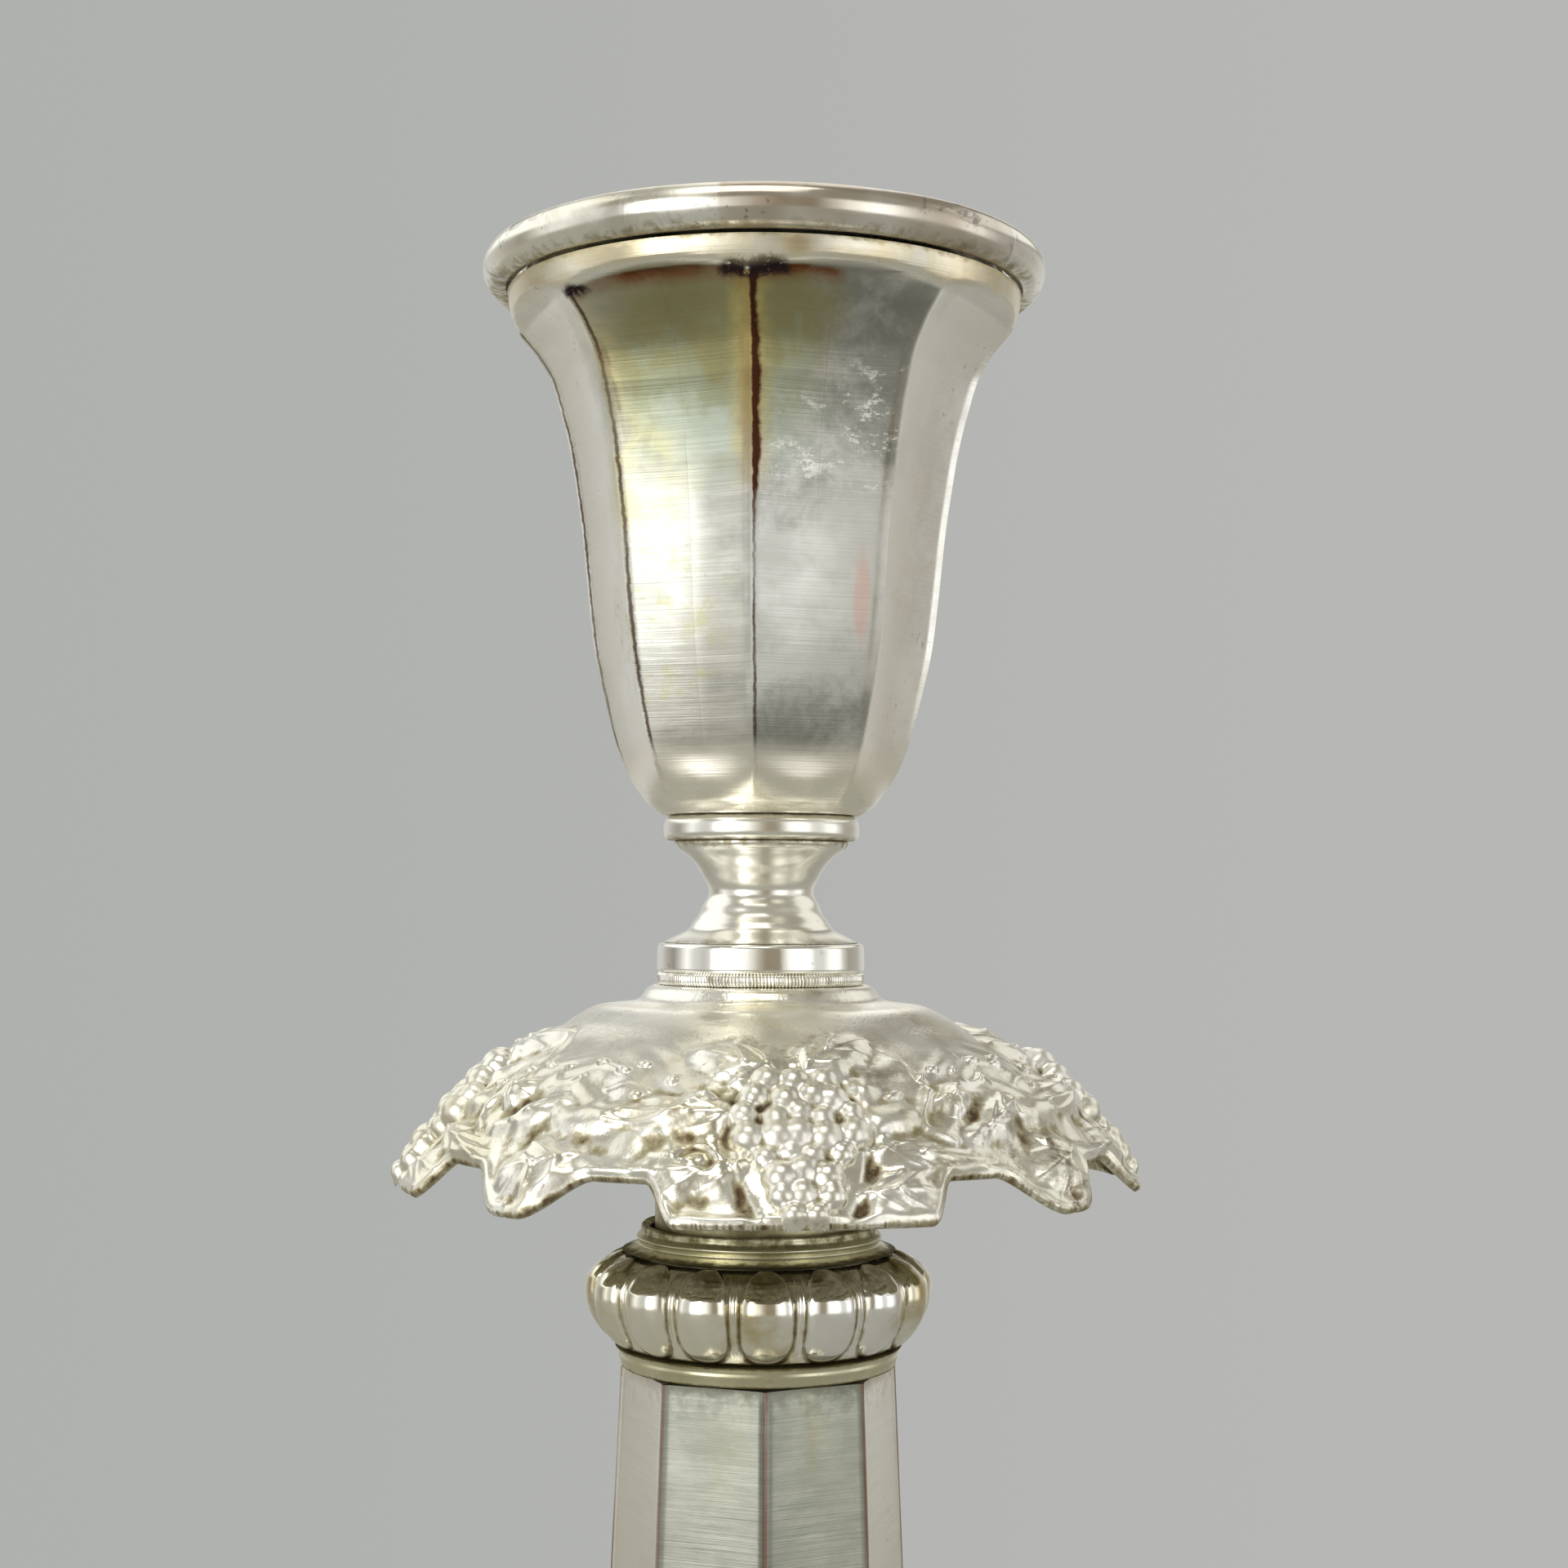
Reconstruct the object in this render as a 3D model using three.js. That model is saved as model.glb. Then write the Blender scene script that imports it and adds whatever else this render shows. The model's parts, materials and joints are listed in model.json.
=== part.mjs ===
// A table candlestick of silver-plated sheet: a weighted foot, an eight-sided column with a gadrooned knop at
// each end, and a plug-in top that carries a vine-leaf drip pan, a spool neck, a bell cup and a nozzle.
// Millimetres, +Z up, origin in the middle of the foot's underside. An arris of the column faces -Y.
import * as THREE from "three";
import { mergeVertices } from "three/addons/utils/BufferGeometryUtils.js";

// Driving dimensions.
const SIDES = 8; // of the column, the cup and the foot's trumpet
const QUARTERS = 4; // the vine border repeats this often round the pan and round the foot
const GADROONS = 16; // round each knop
const SHEET = 0.8; // thickness of the rolled sheet
const SEAM = 0.15; // hairline between soldered pieces
const RUNNING = 0.3; // clearance round a piece that lifts or turns
const CANDLE = 22; // diameter of the candle
const FOOT_RADIUS = 68;
const PAN_TURN = THREE.MathUtils.degToRad(3.7); // how the loose pieces happen to stand against the column
const CUP_TURN = THREE.MathUtils.degToRad(-6.5);

// Heights above the table at which one piece ends and the next begins.
const Z = {
  plate: 1.2, // top of the felt, under the base plate
  footEdge: 4,
  footStep: 19,
  trumpet: 22.3,
  footCollar: 57,
  lowerKnop: 60.5,
  shaftRing: 72,
  shaft: 75.3,
  knopRing: 185.9,
  knop: 188.1,
  collar: 196.5,
  socketFloor: 177,
  socketMouth: 198.3,
  pan: 221,
  disc: 222,
  neck: 225.1,
  cupCollar: 234.8,
  cup: 237.1,
  lip: 284,
  rim: 286.3,
  top: 290.3,
};

// Facets round a turned piece, by how large it is.
const SMALL = 12;
const MIDDLE = 24;
const WIDE = 32;

const silver = new THREE.MeshStandardMaterial({ color: 0xc9c4b4, roughness: 0.25, metalness: 1 });
const brass = new THREE.MeshStandardMaterial({ color: 0xb08a4a, roughness: 0.4, metalness: 1 });
const iron = new THREE.MeshStandardMaterial({ color: 0x5a554f, roughness: 0.6, metalness: 1 });
const plaster = new THREE.MeshStandardMaterial({ color: 0xcfc6b0, roughness: 0.95, metalness: 0 });
const felt = new THREE.MeshStandardMaterial({ color: 0x2f4a37, roughness: 1, metalness: 0 });

// Twice the area of a closed outline, positive when it runs anticlockwise in (radius, height).
function turnOf(points) {
  return points.reduce((sum, p, i) => {
    const q = points[(i + 1) % points.length];
    return sum + p.x * q.y - q.x * p.y;
  }, 0);
}

// A solid turned about Z from a closed outline of [radius, height] pairs, with its faces pointing out.
function turned(outline, segments) {
  let points = outline.map((p) => (p.isVector2 ? p.clone() : new THREE.Vector2(...p)));
  if (turnOf(points) < 0) points.reverse();
  const axis = points.findIndex((p, i) => p.x === 0 && points[(i + 1) % points.length].x === 0);
  if (axis >= 0) points = [...points.slice(axis + 1), ...points.slice(0, axis + 1)];
  else points.push(points[0].clone());
  return new THREE.LatheGeometry(points, segments).rotateX(Math.PI / 2);
}

// A smooth line through a few [radius, height] pairs, as points.
function flowing(pairs, steps) {
  return new THREE.SplineCurve(pairs.map((p) => new THREE.Vector2(...p))).getPoints(steps);
}

// The outline of a sheet: a line of points and the same line moved by the thickness to its left.
function sheetOutline(line, thickness) {
  const inner = line.map((p, i) => {
    const before = line[Math.max(i - 1, 0)];
    const after = line[Math.min(i + 1, line.length - 1)];
    const along = after.clone().sub(before).normalize();
    return new THREE.Vector2(p.x - along.y * thickness, p.y + along.x * thickness);
  });
  return [...line, ...inner.reverse()];
}

// A plain ring or washer.
function ring(inner, outer, low, high, segments) {
  return turned([[inner, low], [outer, low], [outer, high], [inner, high]], segments);
}

// A disc or rod, solid to the axis.
function disc(radius, low, high, segments) {
  return turned([[0, low], [radius, low], [radius, high], [0, high]], segments);
}

// Moves every point of a geometry: change gets and returns { phi, r, z }, where phi is 0 at -Y.
function reshaped(geometry, change) {
  const at = geometry.getAttribute("position");
  for (let i = 0; i < at.count; i++) {
    const r = Math.hypot(at.getX(i), at.getY(i));
    const phi = r ? Math.atan2(at.getX(i), -at.getY(i)) : 0;
    const to = change({ phi, r, z: at.getZ(i) });
    at.setXYZ(i, to.r * Math.sin(to.phi), -to.r * Math.cos(to.phi), to.z);
  }
  return geometry;
}

// How far in a flat side lies, as a share of the radius to the arris: 1 at an arris, least in mid side.
function flatShare(phi) {
  const side = (2 * Math.PI) / SIDES;
  const fromMiddle = phi - side * (Math.floor(phi / side) + 0.5);
  return Math.cos(side / 2) / Math.cos(fromMiddle);
}

// Makes a round piece eight-sided, fully where share(z) is 1.
function faceted(geometry, share) {
  return reshaped(geometry, ({ phi, r, z }) => ({ phi, z, r: r * (1 - share(z) * (1 - flatShare(phi))) }));
}

// Presses upright grooves between the gadroons of a knop, deepest at mid height.
function gadrooned(geometry, low, high, depth) {
  return reshaped(geometry, ({ phi, r, z }) => {
    const across = Math.abs(Math.sin((phi * GADROONS) / 2));
    const up = Math.sin((Math.PI * (z - low)) / (high - low));
    return { phi, z, r: r - depth * Math.max(up, 0) * across ** 4 };
  });
}

// A place on a turned surface: s along its profile from the inner end, h above it. It runs straight on past
// the end.
function placeOn(curve, s, h) {
  const length = curve.getLength();
  const u = Math.min(Math.max(s / length, 0), 1);
  const point = curve.getPointAt(u);
  const along = curve.getTangentAt(u);
  const past = s - u * length;
  return { r: point.x + along.x * past - along.y * h, z: point.y + along.y * past + along.x * h };
}

// A sheet that follows a turned surface: a flat washer, bent so that its width runs along the profile.
function domedSheet(curve, rings, segments, reach = () => 1) {
  const hole = 1; // radius of the washer's hole while it is still flat
  const length = curve.getLength();
  const across = Array.from({ length: rings + 1 }, (_, i) => hole + (length * i) / rings);
  const under = across.map((r) => [r, -SHEET]);
  const washer = turned([...under, ...across.reverse().map((r) => [r, 0])], segments);
  return reshaped(washer, ({ phi, r, z }) => {
    const s = r - hole;
    return { phi, ...placeOn(curve, s * reach(phi, s), z) };
  });
}

// A bunch of grapes as one plain cushion that lies on a turned surface, pointed at its lower end.
function cluster(curve, middle, halfLength, halfWidth, height) {
  const under = [0, 0.35, 0.7, 1].map((r) => [r, 2 * SEAM]);
  const cushion = turned([...under, [1, 0.35 * height], [0.7, 0.85 * height], [0, height]], SMALL);
  const at = cushion.getAttribute("position");
  for (let i = 0; i < at.count; i++) {
    const down = -at.getY(i);
    const taper = 1 - 0.3 * down;
    const place = placeOn(curve, middle + down * halfLength, at.getZ(i));
    const phi = (at.getX(i) * halfWidth * taper) / placeOn(curve, middle, 0).r;
    at.setXYZ(i, place.r * Math.sin(phi), -place.r * Math.cos(phi), place.z);
  }
  return mergeVertices(cushion.deleteAttribute("normal").deleteAttribute("uv"));
}

// A hexagonal nut or the like, with a clear bore.
function nut(acrossCorners, bore, low, high) {
  return ring(bore / Math.cos(Math.PI / 6), acrossCorners / 2, low, high, 6);
}

function mesh(name, geometry, material) {
  const made = new THREE.Mesh(geometry, material);
  made.name = name;
  return made;
}

function repeated(name, geometry, material) {
  return Array.from({ length: QUARTERS }, (_, i) => {
    const made = mesh(`${name}_${i + 1}`, geometry, material);
    made.rotation.z = (i * 2 * Math.PI) / QUARTERS;
    return made;
  });
}

// ---- Foot: felt, base plate, plaster filling, rolled rim, vine-leaf dome, eight-sided trumpet.

const FOOT_DOME = new THREE.SplineCurve(
  [[38.6, 18.9], [44, 17.6], [51, 14.6], [58, 10.4], [63.4, 6], [65.6, Z.footEdge + SHEET]].map(
    (p) => new THREE.Vector2(...p),
  ),
);
const TRUMPET_TOP = 17.2;
const TRUMPET_FOOT = 36;
const TIE_ROD = 2.5; // radius
const RECESS = { radius: 9.5, z: 6.4 }; // in the base plate, for the tie rod's nut

function trumpetRadius(z) {
  const t = (z - Z.trumpet) / (Z.footCollar - Z.trumpet);
  return TRUMPET_TOP + (TRUMPET_FOOT - TRUMPET_TOP) * (1 - t) ** 2.3;
}

function footTrumpet() {
  const steps = 8;
  const wall = 1.1; // measured level
  const outside = Array.from({ length: steps + 1 }, (_, i) => {
    const z = Z.trumpet + SEAM + ((Z.footCollar - Z.trumpet - SEAM) * i) / steps;
    return [trumpetRadius(z), z];
  });
  const inside = outside.map(([r, z]) => [r - wall, z]).reverse();
  return turned([...outside, ...inside], SIDES);
}

function rolledRim(radius, halfWidth, halfHeight, middle, segments) {
  const around = 8;
  const section = Array.from({ length: around }, (_, i) => {
    const a = (i * 2 * Math.PI) / around;
    return [radius + halfWidth * Math.cos(a), middle + halfHeight * Math.sin(a)];
  });
  return turned(section, segments);
}

function basePlate() {
  const low = Z.plate;
  const high = low + SHEET;
  const outer = FOOT_RADIUS - 3.6;
  const { radius, z } = RECESS;
  return turned(
    [
      [radius, low], [outer, low], [outer, high], [radius + SHEET, high],
      [radius + SHEET, z + SHEET], [TIE_ROD + RUNNING, z + SHEET], [TIE_ROD + RUNNING, z], [radius, z],
    ],
    MIDDLE,
  );
}

function filling() {
  const bore = TIE_ROD + RUNNING;
  const low = Z.plate + SHEET + SEAM;
  const flat = Math.cos(Math.PI / SIDES);
  const inTrumpet = [31, 38, 46].map((z) => [trumpetRadius(z) * flat - 2.5, z]);
  const underDome = [[61, 4.5], [56, 9], [49, 13], [42, 15.6], [34.5, 16.6], [29, 19.5], [25, 25]];
  return turned(
    [[RECESS.radius + 1.5, low], [61.5, low], ...underDome, ...inTrumpet, [bore, 46],
      [bore, RECESS.z + 1.5], [RECESS.radius + 1.5, RECESS.z + 1.5]],
    MIDDLE,
  );
}

const foot = [
  mesh("felt_pad", disc(FOOT_RADIUS - 4.6, 0, Z.plate - SEAM, WIDE), felt),
  mesh("base_plate", basePlate(), brass),
  mesh("plaster_filling", filling(), plaster),
  mesh("foot_rolled_rim", rolledRim(FOOT_RADIUS - 1.6, 1.6, 1.6, 2.2, WIDE), silver),
  mesh("foot_dome", domedSheet(FOOT_DOME, 5, WIDE), silver),
  mesh("foot_step_ring",
    turned([[35.4, Z.footStep + SEAM], [39.4, Z.footStep + SEAM], [39.6, Z.footStep + 1.2],
      [38.6, Z.footStep + 2], [37.8, Z.trumpet - 0.3], [36.4, Z.trumpet], [35.4, Z.trumpet]], MIDDLE), silver),
  mesh("foot_trumpet", footTrumpet(), silver),
  ...repeated("foot_grapes", cluster(FOOT_DOME, 19, 9.5, 6.6, 3.2), silver),
];

// ---- Column: lower knop, shaft, upper knop, socket for the plug, tie rod that holds it all to the foot.

const KNOP = { height: 8.4, waist: 13.5, belly: 16.3, shoulder: 12.4 }; // the upper knop
const LOWER_KNOP_SCALE = 1.25;
const SHAFT_TOP = 12.65; // radius to the arris
const SHAFT_FOOT = 17.4;
const PLUG_RADIUS = 9.8;
const SOCKET_RADIUS = PLUG_RADIUS + RUNNING;

function knop(low, high, scale) {
  const height = high - low - 2 * SEAM;
  const up = (share) => low + SEAM + height * share;
  const { waist, belly, shoulder } = KNOP;
  const outside = [[waist, 0], [belly - 1, 0.2], [belly, 0.5], [belly - 0.7, 0.8], [shoulder + 1.6, 1],
    [shoulder, 1]];
  const inside = [[shoulder, 0.88], [belly - 1.9, 0.78], [belly - 1.1, 0.5], [belly - 1.9, 0.22],
    [waist - 1, 0]];
  const outline = [...outside, ...inside].map(([r, share]) => [r * scale, up(share)]);
  return gadrooned(turned(outline, GADROONS * 2), low, high, 0.7 * scale);
}

function shaft() {
  const low = Z.shaft + SEAM;
  const high = Z.knopRing - SEAM;
  const outside = [new THREE.Vector2(SHAFT_FOOT, low), new THREE.Vector2(SHAFT_TOP, high)];
  return turned(sheetOutline(outside, SHEET), SIDES);
}

function socketTube() {
  const high = Z.collar;
  const wall = SHEET;
  const lip = 7; // inner radius of the turned-in lower edge, which carries the socket floor
  const low = Z.socketFloor - 1 - SEAM;
  return turned(
    [[lip, low - wall], [SOCKET_RADIUS + wall, low - wall], [SOCKET_RADIUS + wall, high],
      [SOCKET_RADIUS, high], [SOCKET_RADIUS, low], [lip, low]],
    MIDDLE,
  );
}

const ROD_TOP = Z.socketFloor + 5.2;
const column = [
  mesh("foot_collar",
    turned([[14.6, Z.footCollar + SEAM], [18, Z.footCollar + SEAM], [18.4, Z.footCollar + 1.2],
      [17.4, Z.footCollar + 2.4], [17.4, Z.lowerKnop - SEAM], [14.6, Z.lowerKnop - SEAM]], MIDDLE), silver),
  mesh("lower_knop", knop(Z.lowerKnop, Z.shaftRing, LOWER_KNOP_SCALE), silver),
  mesh("shaft_foot_ring",
    turned([[14.8, Z.shaftRing + SEAM], [17.6, Z.shaftRing + SEAM], [18.6, Z.shaftRing + 1.4],
      [18.4, Z.shaftRing + 2.4], [17.9, Z.shaft], [14.8, Z.shaft]], MIDDLE), silver),
  mesh("shaft", shaft(), silver),
  mesh("knop_ring",
    turned([[11.6, Z.knopRing + SEAM], [12.95, Z.knopRing + SEAM], [13.35, Z.knopRing + 0.8],
      [12.95, Z.knopRing + 1.4], [13.5, Z.knop - SEAM], [11.6, Z.knop - SEAM]], MIDDLE), silver),
  mesh("knop", knop(Z.knop, Z.collar, 1), silver),
  mesh("socket_collar",
    turned([[10.75, Z.collar + SEAM], [12.5, Z.collar + SEAM], [11.8, Z.collar + 0.7], [11.4, Z.collar + 1],
      [11.45, Z.socketMouth], [10.75, Z.socketMouth]], MIDDLE), silver),
  mesh("socket_tube", socketTube(), brass),
  mesh("socket_floor", ring(TIE_ROD + RUNNING, PLUG_RADIUS, Z.socketFloor - 1, Z.socketFloor, MIDDLE), brass),
  mesh("tie_rod", disc(TIE_ROD, RECESS.z - 4.6, ROD_TOP, SMALL), iron),
  mesh("tie_rod_top_nut", nut(10.4, TIE_ROD + RUNNING, Z.socketFloor + SEAM, Z.socketFloor + 4.2), iron),
  mesh("tie_rod_washer", ring(TIE_ROD + RUNNING, 7, RECESS.z - 1, RECESS.z - SEAM, SMALL), iron),
  mesh("tie_rod_foot_nut", nut(10.4, TIE_ROD + RUNNING, RECESS.z - 4.4, RECESS.z - 1 - SEAM), iron),
];

// ---- Drip pan: a domed sheet with a lobed edge, loose on the bush under the neck.

const PAN_PROFILE = new THREE.SplineCurve(
  [[6.3, 221], [10.5, 220.95], [11.2, 220.2], [15.3, 219.5], [17.5, 218.4], [20, 216.8], [23.3, 215.2],
    [26.1, 213.3], [28.1, 211.3], [29.9, 209.1], [31.5, 206.9], [33.3, 204.7],
    [35.5, 202.6]].map((p) => new THREE.Vector2(...p)),
);
const PAN_LENGTH = PAN_PROFILE.getLength();
const NOTCH = 0.895; // reach of the plain edge between the leaves, as a share of the whole
const BROAD_LEAF = THREE.MathUtils.degToRad(21.5); // half the angle of the leaf behind each bunch of grapes
const SLIM_LEAF = THREE.MathUtils.degToRad(9); // half the angle of the leaf between two bunches
const LEAF_END = THREE.MathUtils.degToRad(4); // over which a leaf's end rounds off

// How far the pan reaches at an angle: full on a leaf, shorter between leaves.
function panReach(phi) {
  const quarter = (2 * Math.PI) / QUARTERS;
  const fromBunch = Math.abs(phi - quarter * Math.round(phi / quarter));
  const broad = THREE.MathUtils.smoothstep(BROAD_LEAF - fromBunch, 0, LEAF_END);
  const slim = THREE.MathUtils.smoothstep(SLIM_LEAF - Math.abs(fromBunch - quarter / 2), 0, LEAF_END);
  return NOTCH + (1 - NOTCH) * Math.max(broad, slim);
}

function dripPan() {
  const plain = 0.5 * PAN_LENGTH; // inside this the pan is round
  const reach = (phi, s) => (s < plain ? 1 : 1 + ((panReach(phi) - 1) * (s - plain)) / (PAN_LENGTH - plain));
  return domedSheet(PAN_PROFILE, 7, 64, reach);
}

const pan = [
  mesh("drip_pan", dripPan(), silver),
  ...repeated("grapes", cluster(PAN_PROFILE, PAN_LENGTH - 6.4, 7.6, 5.6, 2.5), silver),
];

// ---- Plug, neck and cup: clamped on one stud, which ends in a nut inside the cup and one inside the plug.

const STUD = 2;
const BORE = STUD + RUNNING;
const BUSH = { radius: 6, shoulder: 8.2 }; // the pan turns on the first and rests on the second
const PLUG_TOP = Z.pan - SHEET - 1.1;
const PLUG_CAP = 1.6;
const CUP_FLOOR = Z.cup + SHEET + SEAM;

function plugTube() {
  const top = PLUG_TOP - PLUG_CAP - SEAM;
  const low = Z.socketFloor + RUNNING;
  const inner = PLUG_RADIUS - SHEET;
  return turned(
    [[inner - 0.6, low], [PLUG_RADIUS - 0.6, low], [PLUG_RADIUS, low + 1.5], [PLUG_RADIUS, top], [inner, top],
      [inner, low + 1.5]],
    MIDDLE,
  );
}

function panBush() {
  const seat = Z.pan - SHEET - RUNNING - SEAM;
  return turned(
    [[BORE, PLUG_TOP + SEAM], [BUSH.shoulder, PLUG_TOP + SEAM], [BUSH.shoulder, seat], [BUSH.radius, seat],
      [BUSH.radius, Z.disc - SEAM], [BORE, Z.disc - SEAM]],
    MIDDLE,
  );
}

// Two flares that meet in a narrow waist.
function spoolNeck() {
  const low = Z.neck + SEAM;
  const high = Z.cupCollar - SEAM;
  const outside = [[9.2, low], [8.4, low + 0.5], [6.6, low + 1.6], [5.4, low + 3.4], [4.95, low + 4.9],
    [5.3, low + 6], [6.1, low + 7.3], [7.9, low + 8.8], [8.4, high]];
  return turned([[BORE, low], ...outside, [BORE, high]], MIDDLE);
}

// The bell, from the hole in its floor, round the belly and up to the mouth.
function cupShell() {
  const belly = flowing([[9, Z.cup], [10.9, 238.3], [12.8, 241.6], [14.1, 244.8], [15.7, 252.4], [17, 263.9],
    [18.1, 270.8], [19.5, 276.8], [21.1, 280.6], [23.1, 283.2]], 9);
  const line = [new THREE.Vector2(BORE, Z.cup), ...belly, new THREE.Vector2(24, Z.lip),
    new THREE.Vector2(24.4, Z.rim - SEAM)];
  const bell = turned(sheetOutline(line, SHEET), MIDDLE);
  const { smoothstep } = THREE.MathUtils;
  return faceted(bell, (z) => smoothstep(z, Z.cup + 1, Z.cup + 3) * (1 - smoothstep(z, Z.lip - 2, Z.lip)));
}

const upper = [
  mesh("plug_tube", plugTube(), brass),
  mesh("plug_cap", ring(BORE, PLUG_RADIUS - 0.3, PLUG_TOP - PLUG_CAP, PLUG_TOP, MIDDLE), brass),
  mesh("pan_bush", panBush(), brass),
  mesh("milled_wire", rolledRim(9.45, 0.35, 0.28, Z.disc - 0.3, MIDDLE), silver),
  mesh("neck_disc",
    turned([[BORE, Z.disc], [9.55, Z.disc], [9.75, Z.disc + 0.4], [9.65, Z.neck - 0.25], [9.55, Z.neck],
      [BORE, Z.neck]], MIDDLE), silver),
  mesh("spool_neck", spoolNeck(), silver),
  mesh("cup_collar",
    turned([[BORE, Z.cupCollar], [8.85, Z.cupCollar], [9.1, Z.cupCollar + 0.4], [9.1, Z.cup - 0.5],
      [8.9, Z.cup - SEAM], [BORE, Z.cup - SEAM]], MIDDLE), silver),
  mesh("cup_shell", cupShell(), silver),
  mesh("stud", disc(STUD, PLUG_TOP - PLUG_CAP - 5, CUP_FLOOR + 5, SMALL), iron),
  mesh("stud_washer", ring(BORE, 5.5, CUP_FLOOR, CUP_FLOOR + 0.8, SMALL), iron),
  mesh("stud_top_nut", nut(8.2, BORE, CUP_FLOOR + 0.8 + SEAM, CUP_FLOOR + 4), iron),
  mesh("stud_foot_nut", nut(8.2, BORE, PLUG_TOP - PLUG_CAP - 4, PLUG_TOP - PLUG_CAP - SEAM), iron),
];

// ---- Nozzle: the loose insert that holds the candle and keeps wax out of the cup.

const TUBE_INNER = CANDLE / 2 + 0.2;
const TUBE_OUTER = TUBE_INNER + 0.7;
const TUBE_TOP = 284.2;
const TUBE_FOOT = 257.5;
const RIM = { radius: 24.9, halfWidth: 1.75, halfHeight: (Z.top - Z.rim) / 2, z: (Z.top + Z.rim) / 2 };

function nozzleDish() {
  const line = [[TUBE_OUTER + 0.2, TUBE_TOP - 0.5], [15.5, 284.2], [19.5, 285.6], [22.9, 287.9]];
  return turned(sheetOutline(line.map((p) => new THREE.Vector2(...p)), SHEET), MIDDLE);
}

function candleTube() {
  const lip = TUBE_INNER - 1.6;
  return turned(
    [[lip, TUBE_FOOT], [TUBE_OUTER, TUBE_FOOT], [TUBE_OUTER, TUBE_TOP], [TUBE_INNER, TUBE_TOP],
      [TUBE_INNER, TUBE_FOOT + SHEET], [lip, TUBE_FOOT + SHEET]],
    MIDDLE,
  );
}

const CANDLE_SEAT = TUBE_FOOT + SHEET + SEAM;
const nozzle = [
  mesh("nozzle_rolled_rim", rolledRim(RIM.radius, RIM.halfWidth, RIM.halfHeight, RIM.z, WIDE), silver),
  mesh("nozzle_dish", nozzleDish(), silver),
  mesh("nozzle_locating_ring", ring(22, 22.7, Z.lip + 0.7, Z.rim - SEAM, MIDDLE), silver),
  mesh("candle_tube", candleTube(), silver),
  mesh("candle_tube_floor", disc(TUBE_INNER - RUNNING, CANDLE_SEAT, CANDLE_SEAT + SHEET, MIDDLE), silver),
];

// ---- The whole candlestick.

function group(parts, turn = 0) {
  const made = new THREE.Group();
  made.add(...parts);
  made.rotation.z = turn;
  return made;
}

const turnedTop = group([...upper, ...nozzle], CUP_TURN);
const candlestick = group([group(foot), group(column), group(pan, PAN_TURN), turnedTop]);

export default candlestick;
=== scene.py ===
"""A silver-plated table candlestick, worn and tarnished, seen close up at the height of its drip pan."""
import json
import math

import bpy
import numpy as np
from mathutils import Matrix, Vector


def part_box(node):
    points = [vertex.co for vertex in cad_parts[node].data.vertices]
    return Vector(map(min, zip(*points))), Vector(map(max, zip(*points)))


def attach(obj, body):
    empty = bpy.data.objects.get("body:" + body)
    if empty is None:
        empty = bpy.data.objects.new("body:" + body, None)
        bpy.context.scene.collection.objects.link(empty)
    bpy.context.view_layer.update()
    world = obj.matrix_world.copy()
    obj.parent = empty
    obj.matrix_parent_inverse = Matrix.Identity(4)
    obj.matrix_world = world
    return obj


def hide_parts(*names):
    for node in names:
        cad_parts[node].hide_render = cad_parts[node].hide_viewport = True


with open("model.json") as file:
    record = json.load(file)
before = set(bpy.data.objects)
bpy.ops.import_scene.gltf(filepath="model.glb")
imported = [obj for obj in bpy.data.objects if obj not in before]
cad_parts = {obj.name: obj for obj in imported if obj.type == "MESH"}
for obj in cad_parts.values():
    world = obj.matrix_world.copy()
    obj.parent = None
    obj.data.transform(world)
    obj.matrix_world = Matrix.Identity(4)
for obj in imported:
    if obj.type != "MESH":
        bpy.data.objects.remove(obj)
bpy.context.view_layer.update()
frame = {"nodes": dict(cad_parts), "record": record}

MM = 0.001
TAU = 2 * math.pi
SIDES, QUARTERS, GADROONS = 8, 4, 16
SHEET = 0.8
PAN_BEND = 1.0


def span(node):
    """Lowest and highest z of a CAD node, in mm."""
    low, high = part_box(node)
    return low.z / MM, high.z / MM


def turn_of(node):
    """The angle from -Y to the middle of a node, in radians."""
    low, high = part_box(node)
    middle = (low + high) / 2
    return math.atan2(middle.x, -middle.y)


PAN_TURN = turn_of("grapes_1")
CUP_TURN = math.radians(-6.5)  # the cup is regular, so its box does not show how it stands

# ---------------------------------------------------------------- mesh making


def ease(low, high, value):
    """0 below low, 1 above high, smooth between."""
    t = np.clip((value - low) / (high - low), 0, 1)
    return t * t * (3 - 2 * t)


def flowing(points, per=10):
    """A Catmull-Rom curve through points, per steps between two of them."""
    p = np.asarray(points, float)
    p = np.vstack([2 * p[0] - p[1], p, 2 * p[-1] - p[-2]])
    t = np.linspace(0, 1, per, endpoint=False)[:, None]
    runs = []
    for a, b, c, d in zip(p[:-3], p[1:-2], p[2:-1], p[3:]):
        cubic = (2 * a - 5 * b + 4 * c - d) * t**2 + (3 * b - a - 3 * c + d) * t**3
        runs.append(0.5 * (2 * b + (c - a) * t + cubic))
    return np.vstack(runs + [p[-2:-1]])


def evenly(line, step):
    """A line's points respaced about step apart."""
    length = np.r_[0, np.cumsum(np.hypot(*np.diff(line, axis=0).T))]
    at = np.linspace(0, length[-1], max(int(length[-1] / step), 2) + 1)
    return np.stack([np.interp(at, length, line[:, i]) for i in (0, 1)], 1)


def outline(*runs, step=0.22, soften=2):
    """A closed (radius, height) outline of even steps with its corners slightly rounded."""
    line = np.vstack([np.asarray(r, float).reshape(-1, 2) for r in runs])
    line = evenly(np.vstack([line, line[:1]]), step)[:-1]
    for _ in range(soften):
        line = (np.roll(line, 1, 0) + 2 * line + np.roll(line, -1, 0)) / 4
    return line


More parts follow.
